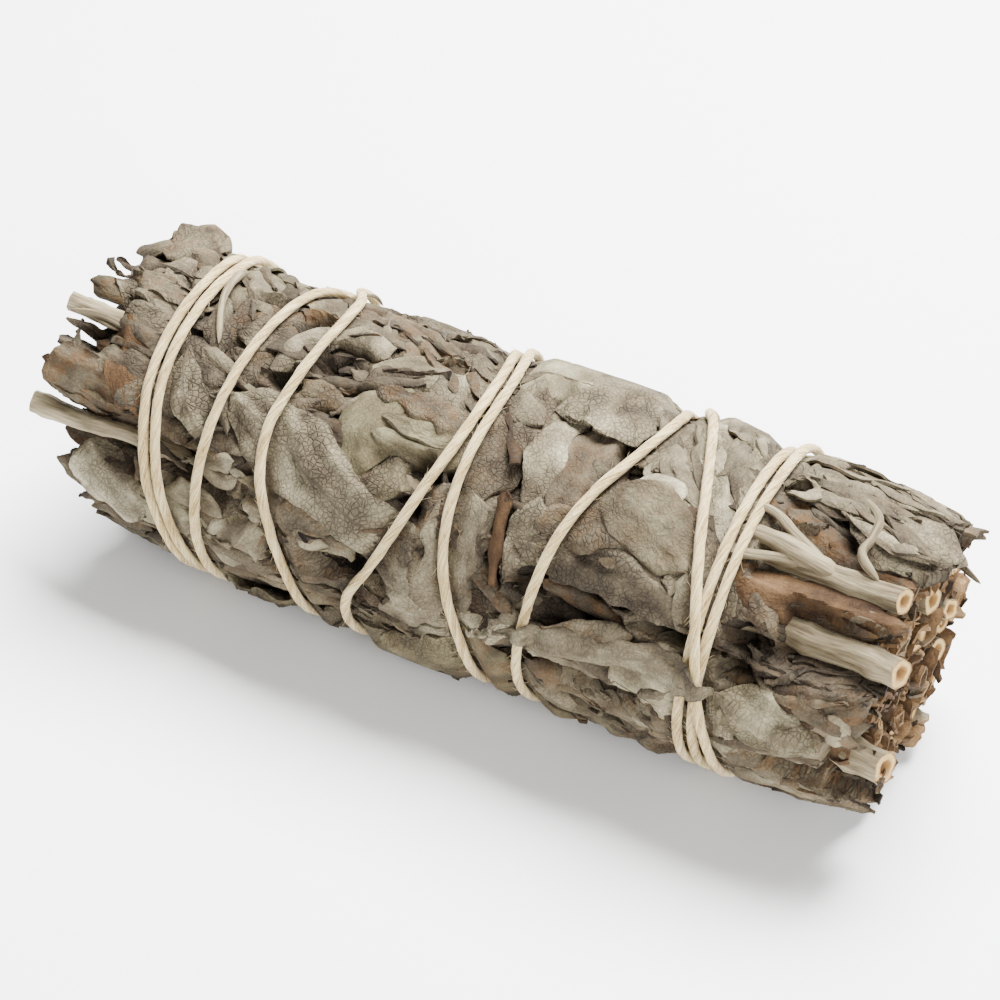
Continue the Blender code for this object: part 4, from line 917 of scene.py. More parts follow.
def fill_hollows(choose, first, last, allowed, cell):
    """Lay a small leaf over each low place between two turns; choose gives the mesh for its x."""
    x, turn = np.meshgrid(pile.xs, np.arange(0.0, 360.0, PILE_TURN), indexing="ij")
    beside = ((turn - first) % 360.0 > last - first) | (x < -46.0) | (x > 49.0)
    beside = beside | (gap_floor(x, turn) < level(x) + 1.0)
    laid = 0
    while laid < MOST_TUCKED:
        depth = np.where(beside, 0.0, level(x) - smoothed(pile.top))
        i, j = np.unravel_index(int(depth.argmax()), depth.shape)
        if depth[i, j] < allowed:
            break
        slant, half, width = draw.uniform(-40, 40), 0.5 * draw.uniform(10, 17), draw.uniform(4.0, 7.0)
        kind = (K(cup=-80, free=True), K(crumple=0.9), K(cup=-100, keel=-40, free=True))[laid % 3]
        path = way_over(x[i, j], turn[i, j], slant, half, -50.0, 50.8)
        lay_leaf(
            choose(x[i, j]), path, [0.6 * width, width, 0.6 * width], cell=cell, lift=(0.7 - allowed,), ends=(3.0, 3.0),
            tone=draw.uniform(0.44, 0.62), rust=draw.uniform(0.0, 0.9), **kind,
        )
        laid += 1
    return laid


print("hollows filled:", fill_hollows(near_shape, -52, 122, 1.4, 0.58))

# %% [markdown]
# Between the broad leaves of the real stick lie torn strips, stalks and tightly rolled leaves, in some places
# many of them side by side. These are drawn by a rule, place by place. On the upper right they are stiff
# blades instead, one over the other.

# %% Torn strips and rolled leaves
STRIP_PLACES = (  # x and turn from and to, how many, the way they run in degrees, tone, rust
    (-24, -5, -46, -4, 17, 16, 0.47, 0.9), (-51, -41, -46, 8, 7, 14, 0.52, 0.6), (-39, -30, -46, -10, 6, 44, 0.62, 0.3),
    (20, 32, -42, 6, 12, 62, 0.64, 0.1), (36, 52, -46, 2, 20, 12, 0.6, 0.3), (37, 51, 56, 72, 7, -6, 0.5, 0.8),
    (-42, -26, 62, 100, 7, 8, 0.6, 0.3), (9, 34, 90, 114, 10, 12, 0.62, 0.4), (-30, 2, 98, 116, 7, 6, 0.6, 0.4),
    (38, 52, 90, 116, 8, 6, 0.58, 0.7), (-52, -42, 24, 60, 4, 12, 0.5, 0.8), (-22, -12, 4, 20, 4, -12, 0.46, 0.7),
)


def strips():
    """Narrow leaves on top of the others, within each of the places."""
    for first, last, low, high, count, way, tone, rust in STRIP_PLACES:
        for number in range(count):
            x, turn = spread_out(number, first, last, GOLDEN_X, 0.4), spread_out(number, low, high, GOLDEN_TURN, 0.2)
            slant, half, wide = way + draw.uniform(-13, 13), 0.5 * draw.uniform(10, 21), draw.uniform(2.4, 5.2)
            path = way_over(x, turn, slant, half, -53.5, 53.5, draw.uniform(-6, 6))
            blade = high < 10 and x > 4.0  # stiff blades that lie one over the other, each with its lower edge raised
            lay_leaf(
                near_shape(x), path, [0.6 * wide, wide, wide, 0.5 * wide], cell=0.5, keel=draw.choice([-50, 0, 40]),
                cup=-35 if blade else draw.choice([-150, -120, -90]), tilt=(draw.uniform(-34, -14) if blade else 0.0,),
                ribs=0.3, ends=(draw.choice([0.0, 3.0]), 4.0), midrib=0.0, net=0.5,
                lift=(draw.uniform(-0.5, 0.3) if blade else draw.uniform(-0.9, 0.0),),
                tone=tone + draw.uniform(-0.13, 0.13), rust=rust * draw.uniform(0.2, 1.2), crumple=0.5,
                free=True, low=True,
            )


strips()
print("rolled leaves and strips:", sum(place[4] for place in STRIP_PLACES))

# %% [markdown]
# ## The large outer leaves
# Eleven leaves are large enough to be followed from end to end. Each is its own node in the solid model, so
# each is its own piece here, in the same place, and stands for that node.

# %% Outer leaves: way, widths, style
OUTER_LEAVES = (
    ([(-29.4, 36), (-23.5, 44), (-17.5, 52), (-10.5, 62), (-1.6, 69)], [4.5, 9.4, 11.0, 9.2, 7.0, 5.0],
     K(FLAT, lift=(0.0, 0.35, 0.3), tone=0.67, rust=0.05, net=1.1, curl=(20, 60), crumple=0.7, ends=(3, 1))),
    ([(-36.6, 25), (-34.8, 40), (-31.0, 56)], [2.6, 5.8, 6.4, 2.6],
     K(FLAT, lift=(0.0, 0.3, 0.1), tone=0.64, net=1.2, curl=(0, 50), curl_width=1.0)),
    ([(-47.2, 79), (-43.5, 88), (-38.0, 101)], [6.8, 9.0, 8.8, 6.0],
     K(FLAT, lift=(0.1,), tone=0.84, rust=0.0, net=0.7, ragged=0.3, crumple=0.5, ends=(1.5, 1.5), sink=0.0)),
    ([(13.0, -46), (12.6, -22), (12.2, 3)], [10, 11.5, 12.0, 9.0],
     K(FLAT, lift=(0.1, 0.5, 0.9), tone=0.66, net=1.1, ragged=0.5, ends=(0, 1.2), crumple=1.3, ribs=0.45, sink=-0.4)),
    ([(2.8, 40), (3.0, 62), (2.4, 90)], [7, 7.6, 7.6, 6.4],
     K(FLAT, lift=(0.1, 0.2), tone=0.68, net=0.7, ribs=0.45, ends=(1, 2))),
    ([(16.2, 22), (22.5, 29), (30.4, 41)], [6.0, 9.2, 9.0, 3.6],
     K(SMOOTH, lift=(0.1, 0.3, 0.1), tone=0.56, net=0.5, rust=0.3)),
    ([(9.2, 86), (18, 80), (27, 76), (36.0, 76)], [1.2, 3.2, 3.8, 4.2, 3.6],
     K(FLAT, cup=-40, lift=(0.1, 0.2, 0.4), tone=0.66, ribs=0.6, net=0.6, over=True)),
    ([(36.4, 77), (41, 82), (48.2, 87)], [6, 9.4, 9.4, 6],
     K(SMOOTH, lift=(0.1, 0.4, 0.1), tone=0.69, net=0.8, keel=-55, crumple=1.6, ribs=0.55, curl=(0, 60))),
    ([(-42.0, 232), (-31, 248), (-20.0, 262)], [4, 10.5, 10.5, 3], K(FLAT, lift=(0.2,), tone=0.62, net=1.0)),
    ([(-15.0, 292), (-5, 278), (4.0, 262)], [4, 10, 10, 3], K(FLAT, lift=(0.2,), tone=0.66, net=1.0, curl=(40, 40))),
    ([(10.0, 222), (19, 240), (29.0, 258)], [4, 10.5, 10.5, 3], K(SMOOTH, lift=(0.2,), tone=0.6, net=0.6)),
)
AT_THE_FRONT = 8  # the rest of them lie on the back
outer_shapes = []
for path, widths, style in OUTER_LEAVES[:AT_THE_FRONT]:
    outer_shapes.append(new_shape())
    lay_leaf(outer_shapes[-1], path, widths, cell=0.34, **style)
print("outer leaves at the front:", len(outer_shapes))

# %% [markdown]
# ## The far side
# The photograph doesn't show the back and the underside. They are finished just as the front is, by a rule
# that draws from the kinds of leaf seen there: flat ones with a net of veins, folded ones, rolled ones and
# narrow strips, most of them along the bundle.

# %% Leaves of the back and the underside
def far_style(kind):
    """One of the kinds of leaf, with its own draw of colour and shape."""
    tone = K(tone=draw.uniform(0.5, 0.8), rust=draw.uniform(0, 0.8) ** 2, green=draw.uniform(0, 0.8))
    if kind == "rolled":
        return K(ROLL, cup=draw.uniform(-120, -80), lift=(draw.uniform(-0.4, 0.2),), **tone)
    if kind == "folded":
        return K(SMOOTH, keel=draw.choice([-70, -50, 55]), lift=(draw.uniform(-0.3, 0.2),), **tone)
    if kind == "curled":
        return K(CURLED, lift=(draw.uniform(-0.3, 0.2),), **tone)
    return K(FLAT, lift=(draw.uniform(-0.3, 0.3),), tilt=(draw.uniform(-8, 8),), **tone)


def far_leaves(shape, count):
    """Leaves between the turns that the photograph leaves out."""
    kinds = ("flat", "rolled", "flat", "folded", "flat", "curled", "rolled", "strip")
    wide = K(flat=(7, 11), rolled=(5, 8), folded=(6, 10), curled=(6, 9), strip=(2.4, 4))
    for number in range(count):
        kind = kinds[number % len(kinds)]
        x, turn = spread_out(number, -43.0, 43.0, GOLDEN_X, 0.2), spread_out(number, 116, 312, GOLDEN_TURN, 0.4)
        slant = draw.uniform(-35, 35) + (70 if number % 6 == 5 else 0)
        path = way_over(x, turn, slant, 0.5 * draw.uniform(15, 27), -49.5, 50.0, draw.uniform(-7, 7))
        width = draw.uniform(*wide[kind])
        style = far_style("rolled" if kind == "strip" else kind)
        lay_leaf(shape, path, [0.35 * width, 0.9 * width, width, 0.8 * width, 0.3 * width], cell=0.76, **style)


far = new_shape()
far_leaves(far, 88)
print("hollows filled at the back:", fill_hollows(lambda x: far, 116, 314, 1.6, 1.0))
for path, widths, style in OUTER_LEAVES[AT_THE_FRONT:]:
    outer_shapes.append(new_shape())
    lay_leaf(outer_shapes[-1], path, widths, cell=0.45, **style)
print("far leaves: %d faces" % len(far.faces))

# %% [markdown]
# ## Stems
# A stem is a tube with a ridged bark, which turns in over its cut end to the pith. The cut slants towards the
# side from which the scissors came. A grid is rolled up into that tube, and its seam and its two poles are
# merged.

# %% Stems
STEM_LAYERS = ("cut", "tone")
CUT_FACING = np.array([0.0, -0.74, 0.67])  # the way that the scissors were held
TABLE_CLEARANCE = 0.06  # mm that tubes keep above the table


def unit(vectors):
    """The vectors, each one millimetre long."""
    return vectors / np.linalg.norm(vectors, axis=1)[:, None]


def rings(centres, angle, radius, first_way, second_way):
    """Rings of points in mm round the centres, from the first way round by the second."""
    reach = np.cos(angle)[..., None] * first_way[:, None, :] + np.sin(angle)[..., None] * second_way[:, None, :]
    return centres[:, None, :] + radius[..., None] * reach


def roll_up(shape, points, run, around, marks):
    """A grid rolled up into a tube through the points in mm, with its seam and its two ends merged."""
    points[..., 2] = np.maximum(points[..., 2], TABLE_CLEARANCE)
    marks = {name: np.broadcast_to(values, points.shape[:2]) for name, values in marks.items()}
    place = np.stack(np.broadcast_arrays(run, np.cos(around), np.sin(around)), axis=-1)
    made = add_sheet(shape, points * MM, marks, place)
    bmesh.ops.remove_doubles(shape, verts=made, dist=0.004 * MM)


def add_tube(shape, centres, radii, sides, marks, ridges=0.0, number=0, way=None, slant=0.0):
    """A tube along the centres in mm, one radius and one set of marks for each; slant tips its rings."""
    tangent = unit(np.gradient(centres, axis=0) if way is None else np.tile(way, (len(centres), 1)))
    side = unit(np.cross(tangent, (0.31, 0.52, 0.79)))
    angle = np.linspace(2 * np.pi, 0.0, sides + 1)[None, :]
    run = distance_along(centres)[:, None]
    bark = wander(run / 7.0, 2.2 * np.cos(angle), number) + wander(run / 7.0, 2.2 * np.sin(angle), number + 1)
    bark = ridges * bark + 0.35 * ridges * np.cos(5 * angle + 2.0 * wander(run / 9.0, 0.5, number))
    radius = np.asarray(radii, float)[:, None] * (1.0 + bark)
    points = rings(centres, angle, radius, side, np.cross(tangent, side))
    points = points - tangent[:, None, :] * (slant * ((points - centres[:, None, :]) @ CUT_FACING))[..., None]
    roll_up(shape, points, run, angle, {name: np.asarray(values)[:, None] for name, values in marks.items()})


def lay_stem(shape, stem, number):
    """One stem, from its buried end to the pith of its cut end."""
    _, length, diameter = stem
    start, end = stem_line(stem)
    rows = max(12, int(length / 0.8))
    share = np.linspace(0.0, 1.0, rows)
    centres = start + (end - start) * share[:, None]
    sway = np.sin(np.pi * share) * 0.5
    centres[:, 1] += sway * wander(share * 3.0, 1.0, number)
    centres[:, 2] += sway * wander(share * 3.0, 2.0, number)
    radii = 0.5 * diameter * (0.82 + 0.14 * share**2 + 0.07 * wander(share * length / 3.0, 0.5, number))
    knots = 0.16 * np.exp(-((((share * length) + 2.0 * number) % 8.0 - 4.0) / 0.8) ** 2)
    radii = radii * (1.0 + knots)
    radii[0], radii[1] = 0.02, 0.8 * radii[1]
    # the cut face, from its rim to the pith: its radius as a share, and how far it stands out in mm
    face = np.array([0.98, 0.9, 0.8, 0.68, 0.56, 0.48, 0.38, 0.2, 0.01])
    out = np.array([0.0, -0.05, 0.02, -0.05, 0.02, -0.12, -0.4, -0.5, -0.42])
    way = (end - start) / np.linalg.norm(end - start)
    centres = np.vstack([centres, end + way * out[:, None]])
    radii = np.concatenate([radii, radii[-1] * face])
    marks = {
        "cut": np.concatenate([np.ones(rows), face * 0.92]),
        "tone": np.full(len(centres), 0.6 + 0.3 * wander(number * 0.77, 0.3)),
    }
    slope = 0.3 + 0.2 * wander(number * 1.3, 0.6)
    slant = np.concatenate([np.clip((share - 1.0) * length / 1.6 + 1.0, 0.0, 1.0), np.ones(len(face))])
    add_tube(shape, centres, radii, 24, marks, ridges=0.11, number=number, way=way, slant=slope * slant[:, None])


stems = []
for number, stem in enumerate(STEMS):
    stems.append(new_shape(STEM_LAYERS))
    lay_stem(stems[-1], stem, number)
print("stems:", len(stems), "thickest", max(stem[2] for stem in STEMS), "mm")

# %% [markdown]
# ## Thin twigs and leaf stalks
# A few stalks a millimetre thick run over the leaves, and the shape of the bundle's outline owes much to
# them.

# %% Twigs: way as x, turn and distance from the outside of the bundle, then radius at each end
TWIGS = (
    ([(-38.6, -28, 0.0), (-37.6, -14, 0.5), (-36.2, 2, 0.6), (-33.4, 20, 0.1)], 0.55, 0.4, 0.7),
    ([(40.4, -15, 0.0), (43.6, -9, 0.9), (45.8, -2, 1.2), (46.2, 6, 0.9), (46.0, 13, 0.5),
      (48.8, 19, -0.2)], 0.5, 0.55, 0.5),
    ([(32.4, 7, -0.2), (35.4, 9, 0.2), (38.0, 13, -0.1), (43.6, 20.5, -1.7)], 0.4, 0.8, 0.7),
    ([(29.0, 15.6, -2.8), (32.4, 16.4, -1.9), (35.6, 17.4, -0.8), (39.2, 18.9, -0.8),
      (44.6, 21.0, -1.6)], 0.9, 1.35, 0.62),
    ([(29.6, 28, -2.2), (32.2, 27.6, -1.3), (34.8, 26.6, -0.4), (37.6, 23.6, -0.8),
      (41.0, 21.5, -1.5)], 0.5, 0.7, 0.62),
    ([(-53.4, 26, -0.2), (-49.0, 24.5, 0.1), (-44.0, 26.5, 0.1)], 0.35, 0.5, 0.4),
    ([(-54.2, 24, -1.2), (-50.0, 25.5, -0.6), (-46.0, 28, -0.2)], 0.3, 0.45, 0.3),
    ([(46.0, -40, -3.0), (51.0, -34, -3.6), (56.4, -28, -5.2)], 0.6, 0.35, 0.1),
    ([(-49.0, 92, -0.4), (-46.5, 91, 0.0), (-44.0, 88, 0.0)], 0.25, 0.4, 0.5),
    ([(-24.8, -40, 1.0), (-24.6, -48, 1.4), (-24.4, -56, 1.0)], 0.25, 0.2, 0.3),
    ([(-14.6, 66, -0.8), (-17.0, 70, 0.2), (-19.6, 66, -0.4)], 0.4, 0.3, 0.9),
)
twigs = new_shape(STEM_LAYERS)
for number, (way, first, last, tone) in enumerate(TWIGS):
    line = through([(x, turn * ARC, level(x) + lift) for x, turn, lift in way], 0.5)
    centres = on_bundle(line[:, 0], line[:, 1] / ARC, line[:, 2]) / MM
    share = np.linspace(0.0, 1.0, len(centres))
    radii = (first + (last - first) * share) * (1.0 + 0.12 * wander(share * 9.0, 0.4, number + 40))
    radii = radii * np.sqrt(np.clip(np.minimum(share, 1 - share) * len(centres) / 4.0, 0.001, 1.0))
    marks = {"cut": np.full(len(centres), 1.0), "tone": np.full(len(centres), tone)}
    add_tube(twigs, centres, radii, 12, marks, ridges=0.08, number=number + 40)
print("twigs:", len(TWIGS))

# %% [markdown]
# ## The cut ends
# At both ends the bundle was trimmed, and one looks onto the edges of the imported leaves: rolled, crushed,
# brown inside and orange where the knife went through. Each is a short leaf that runs straight along the
# bundle and is bent into a roll of its own.

# %% Leaf ends
GOLDEN_ANGLE = 137.508  # degrees


def lay_strip(shape, y, z, spin, first, last, width, cell=0.78, **style):
    """A leaf that runs straight from one x to another; y and z are from the axis, and last is its cut end."""
    style = {**PLAIN, "ends": (2.0, 0.0), "free": True, **style}
    number = next_number()
    length = abs(last - first)
    run = np.linspace(0.0, length, max(8, round(length / cell)))[:, None]
    side = np.linspace(-1.0, 1.0, 2 * max(4, round(width / (2 * cell))) + 1)[None, :] + 0 * run
    left, right = outline(run, length, (width, width), style, number)
    across, up, q, half, relief = section(run, side, left, right, style, number)
    slip = 0.4 * kinked(q / 1.3, number + 0.2) + 0.25 * kinked(q / 0.6, number + 0.6)
    slip = slip * np.clip(1 - (length - run) / 3, 0, 1)
    angle = math.radians(spin) + 0.25 * wander(run / 8.0, 0.7, number)
    way = math.copysign(1.0, last - first)
    spread = np.clip(run / length, 0.0, 1.0)
    middle_y = y * (0.93 + 0.07 * spread) + 0.5 * wander(run / 7.0, 3.0, number)
    middle_z = z * (0.93 + 0.07 * spread) + 0.5 * wander(run / 7.0, 4.0, number)
    px = first + way * (run + slip) + 0 * q
    py = middle_y + across * np.cos(angle) - way * up * np.sin(angle)
    pz = middle_z + across * np.sin(angle) + way * up * np.cos(angle)
    reach = np.hypot(py, pz)
    most = level(px) - 1.5 + 0.4 * wander(px / 2.0, q, number)
    shrink = np.minimum(1.0, most / np.maximum(reach, 0.1))
    points = np.stack([px, py * shrink, np.maximum(AXIS_HEIGHT + pz * shrink, 0.08)], axis=-1) * MM
    # painted shade: the leaf ends are darkened as if they lay 1 mm below the outside of the bundle
    marks = leaf_marks(run, q, half, relief, length, level(px) - 1.0, px, style, number)
    fresh = np.clip(1.0 - (length - run) / 1.1, 0.0, 1.0) + 0 * q
    marks["tone"] = marks["tone"] + 0.14 * fresh
    marks["rust"] = marks["rust"] + 0.7 * fresh
    add_sheet(shape, points, marks, own_place(run, q, 0.0, number))


def leaf_ends(shape, count, first, shortest, longest, spread, tone):
    """Rolled and crushed leaf ends over one end of the bundle, kept off its stems."""
    out = math.copysign(1.0, first)
    beside = [(cut[1], cut[2], diameter) for cut, _, diameter in STEMS if cut[0] * out > 0]
    laid = 0
    for number in range(count):
        radius = spread * math.sqrt((number + 0.5) / count)
        angle = math.radians(number * GOLDEN_ANGLE)
        y, z = radius * math.cos(angle), radius * math.sin(angle)
        last = out * (longest - (longest - shortest) * draw.uniform(0, 1) ** 2)
        width = draw.uniform(2.0, 6.0)
        spin = draw.uniform(0, 360) if radius < 9 else math.degrees(angle) - 90 + draw.uniform(-35, 35)
        cup = draw.choice([-150, -110, 90, 160, 230])
        shade = K(tone=draw.uniform(*tone), rust=draw.uniform(0.6, 1.7))
        if any(math.hypot(y - sy, z - sz) < 0.5 * size + 0.7 for sy, sz, size in beside):
            continue
        lay_strip(
            shape, y, z, spin, first + out * draw.uniform(-3, 3), last, width, cup=cup, keel=draw.uniform(-60, 60),
            crumple=1.0, ribs=0.4, ruffle=0.5, ragged=0.3, net=0.3, green=0.0, **shade,
        )
        laid += 1
    return laid


ends = new_shape()
right_count = leaf_ends(ends, 255, 43.5, 48.8, 51.9, 15.6, (0.42, 0.88))
left_count = leaf_ends(ends, 110, -40.0, 44.0, 48.8, 14.6, (0.42, 0.66))
print("leaf ends: %d right, %d left, %d faces" % (right_count, left_count, len(ends.faces)))

# %% [markdown]
# ## The string
# Cotton string is three soft yarns twisted together, so its section has three lobes that turn as they go
# along. It is one grid, rolled up round the route, and its knot is a real one: a trefoil of the same strand.
# Loose fibres stand off it everywhere, and they make its edge look soft.

# %% String, knot and fibres
PITCH = 11.0  # mm of string for one turn of its yarns
STRAND_SIDES = 12


def add_strand(shape, centres, outwards, radius, closed=False):
    """A three-yarn strand along the centres in mm; outwards is the way off the bundle at each of them."""
    tangent = np.gradient(centres, axis=0)
    if closed:
        tangent[0] = tangent[-1] = centres[1] - centres[-2]
    tangent = unit(tangent)
    beside = unit(np.cross(tangent, outwards))
    angle = np.linspace(2 * np.pi, 0.0, STRAND_SIDES + 1)[None, :]
    run = distance_along(centres)[:, None]
    turns = round(run[-1, 0] / PITCH) / run[-1, 0] if closed else 1.0 / PITCH
    around = angle - 2 * np.pi * turns * run
    lobe = np.abs(np.cos(1.5 * around)) ** 0.7
    uneven = 1.0 + 0.06 * wander(run / 1.6, 2.0 * np.cos(angle), 6) + 0.07 * wander(run / 5.0, 0.5, 7)
    flat = 1.0 - 0.1 * np.cos(angle) ** 2
    r = radius * (0.8 + 0.08 * lobe) * uneven * flat
    if not closed:
        r[0], r[-1] = 0.01, 0.01
        r[1], r[-2] = 0.75 * r[1], 0.75 * r[-2]
    roll_up(shape, rings(centres, angle, r, np.cross(beside, tangent), beside), run, around, {"cut": lobe})


def outward(turn):
    """The way off the bundle at a turn."""
    angle = np.radians(turn)
    return np.stack([0 * angle, -np.sin(angle), np.cos(angle)], axis=-1)


string_shape = new_shape(STEM_LAYERS)
add_strand(string_shape, STRAND_POINTS, outward(STRAND[:, 1]), STRING_DIAMETER / 2)

KNOT_SIZE, KNOT_RADIUS = 0.56, 0.62
knot_angle = np.linspace(0.0, 2 * np.pi, 91)
knot_reach = KNOT_SIZE * (2 + np.cos(3 * knot_angle))
knot_up = STRING_FROM_AXIS + 0.7 + 0.8 * np.sin(3 * knot_angle)
knot_x = KNOT_X + knot_reach * np.cos(2 * knot_angle)
knot_points = on_bundle(knot_x, KNOT_TURN + knot_reach * np.sin(2 * knot_angle) / ARC, knot_up) / MM
add_strand(string_shape, knot_points, outward(KNOT_TURN + 0 * knot_angle), KNOT_RADIUS, closed=True)


BATCH = 100


def add_fibres(shape, count):
    """Short curved fibres that stand off the string, made in small batches, which is quicker, and joined to it."""
    chance = np.random.default_rng(SEED + 1)
    for start in range(0, count, BATCH):
        batch = new_shape(STEM_LAYERS)
        for _ in range(min(BATCH, count - start)):
            add_fibre(batch, chance)
        mesh = bpy.data.meshes.new("fibres")
        batch.to_mesh(mesh)
        batch.free()
        shape.from_mesh(mesh)
        bpy.data.meshes.remove(mesh)


def add_fibre(shape, chance):
    """One fibre that leaves the string at a slant and bends back."""
    i = int(chance.uniform(3, len(STRAND_POINTS) - 4))
    at, way = STRAND_POINTS[i], STRAND_POINTS[i + 1] - STRAND_POINTS[i]
    way = way / np.linalg.norm(way)
    out = outward(STRAND[i, 1])
    aside = np.cross(way, out)
    lean = chance.uniform(-2.3, 2.3)
    off = out * math.cos(lean) + aside * math.sin(lean)
    length = chance.uniform(0.3, 1.2)
    slope = chance.uniform(0.15, 0.9)
    bend = chance.uniform(-0.5, 0.5)
    share = np.linspace(0.0, 1.0, 4)[:, None]
    centres = at + off * (0.5 + length * slope * share * (1 - 0.35 * share))
    centres = centres + way * length * share * chance.choice([-1.0, 1.0]) + aside * bend * length * share**2
    add_tube(shape, centres, np.array([0.024, 0.022, 0.018, 0.004]), 3, {"cut": np.full(4, 1.0)})


add_fibres(string_shape, 2100)
print("string: %d faces with its knot and fibres" % len(string_shape.faces))

# %% [markdown]
# ## Materials
# Colours are written as they look on a screen, and one function turns them into the linear values that the
# renderer works in. A second small function adds a node with its settings and links and hands on one of its
# outputs, so that each finish reads as a list of steps.

# %% Colour and node helpers
def hex_colour(text):
    """A screen colour such as C9C0AE as linear red, green, blue and alpha."""
    parts = [int(text[i : i + 2], 16) / 255.0 for i in (0, 2, 4)]
    return (*(p / 12.92 if p <= 0.04045 else ((p + 0.055) / 1.055) ** 2.4 for p in parts), 1.0)


def node(tree, kind, *inputs, output=0, stops=(), **settings):
    """Add a node of this kind, with its settings and links, and hand on one of its outputs.

    The inputs are values or outputs of other nodes, in the order of the sockets or as one dict by socket. The
    stops of a ramp are its positions, each with a hex colour.
    """
    made = tree.nodes.new("ShaderNode" + kind)
    for name, value in settings.items():
        setattr(made, name, value)
    sockets = inputs[0] if inputs and isinstance(inputs[0], dict) else dict(enumerate(inputs))
    for socket, value in sockets.items():
        if isinstance(value, bpy.types.NodeSocket):
            tree.links.new(value, made.inputs[socket])
        else:
            made.inputs[socket].default_value = value
    for number, (position, colour) in enumerate(stops):
        elements = made.color_ramp.elements
        element = elements[number] if number < len(elements) else elements.new(position)
        element.position, element.color = position, hex_colour(colour)
    return made.outputs[output] if made.outputs else made


SOFT = {"interpolation_type": "SMOOTHSTEP"}  # a range with soft ends: value, from low, from high, to low, to high
SHARE, FIRST, SECOND, MIXED = 0, 6, 7, 2  # the sockets of a mix of two colours, and its output


def new_material(name):
    """An empty material: its node tree and its shader."""
    material = bpy.data.materials.new(name)
    material.use_nodes = True
    tree = material.node_tree
    tree.nodes.clear()
    light = node(tree, "BsdfPrincipled")
    node(tree, "OutputMaterial", {"Surface": light})
    return material, tree, light.node


def matt_finish(tree, shader, colour, roughness, specular, height, relief):
    """Give the shader its colour, the little gloss it has and its fine relief, which is in metres."""
    tree.links.new(colour, shader.inputs["Base Color"])
    shader.inputs["Roughness"].default_value = roughness
    shader.inputs["Specular IOR Level"].default_value = specular
    bump = node(tree, "Bump", {"Height": height, "Strength": 1.0, "Distance": relief})
    tree.links.new(bump, shader.inputs["Normal"])


print("leaf grey in linear light:", [round(c, 3) for c in hex_colour("A69D88")])

# %% [markdown]
# ### Dried sage leaf
# White sage is covered with a felt of tiny hairs, so it is matt and a little chalky, with no gloss at all.
# As it dries, the soft cells between the veins puff up and the net of veins sinks in and browns. The net is
# the borders of cells about 0.6 mm wide. It is joined by a middle vein and by side veins 3.4 mm apart, all in
# the millimetres of the leaf itself. The mesh tells the material how brown each point dried, and how deep in
# the bundle and how far down in a crease it lies, where the material paints shade.

# %% Leaf material
NET_CELL = 0.58  # mm across one puffed-up cell
SIDE_VEINS = 3.4  # mm from one side vein to the next
SIDE_VEIN_SLANT = 1.1  # mm that a side vein runs on along the leaf for each mm across it


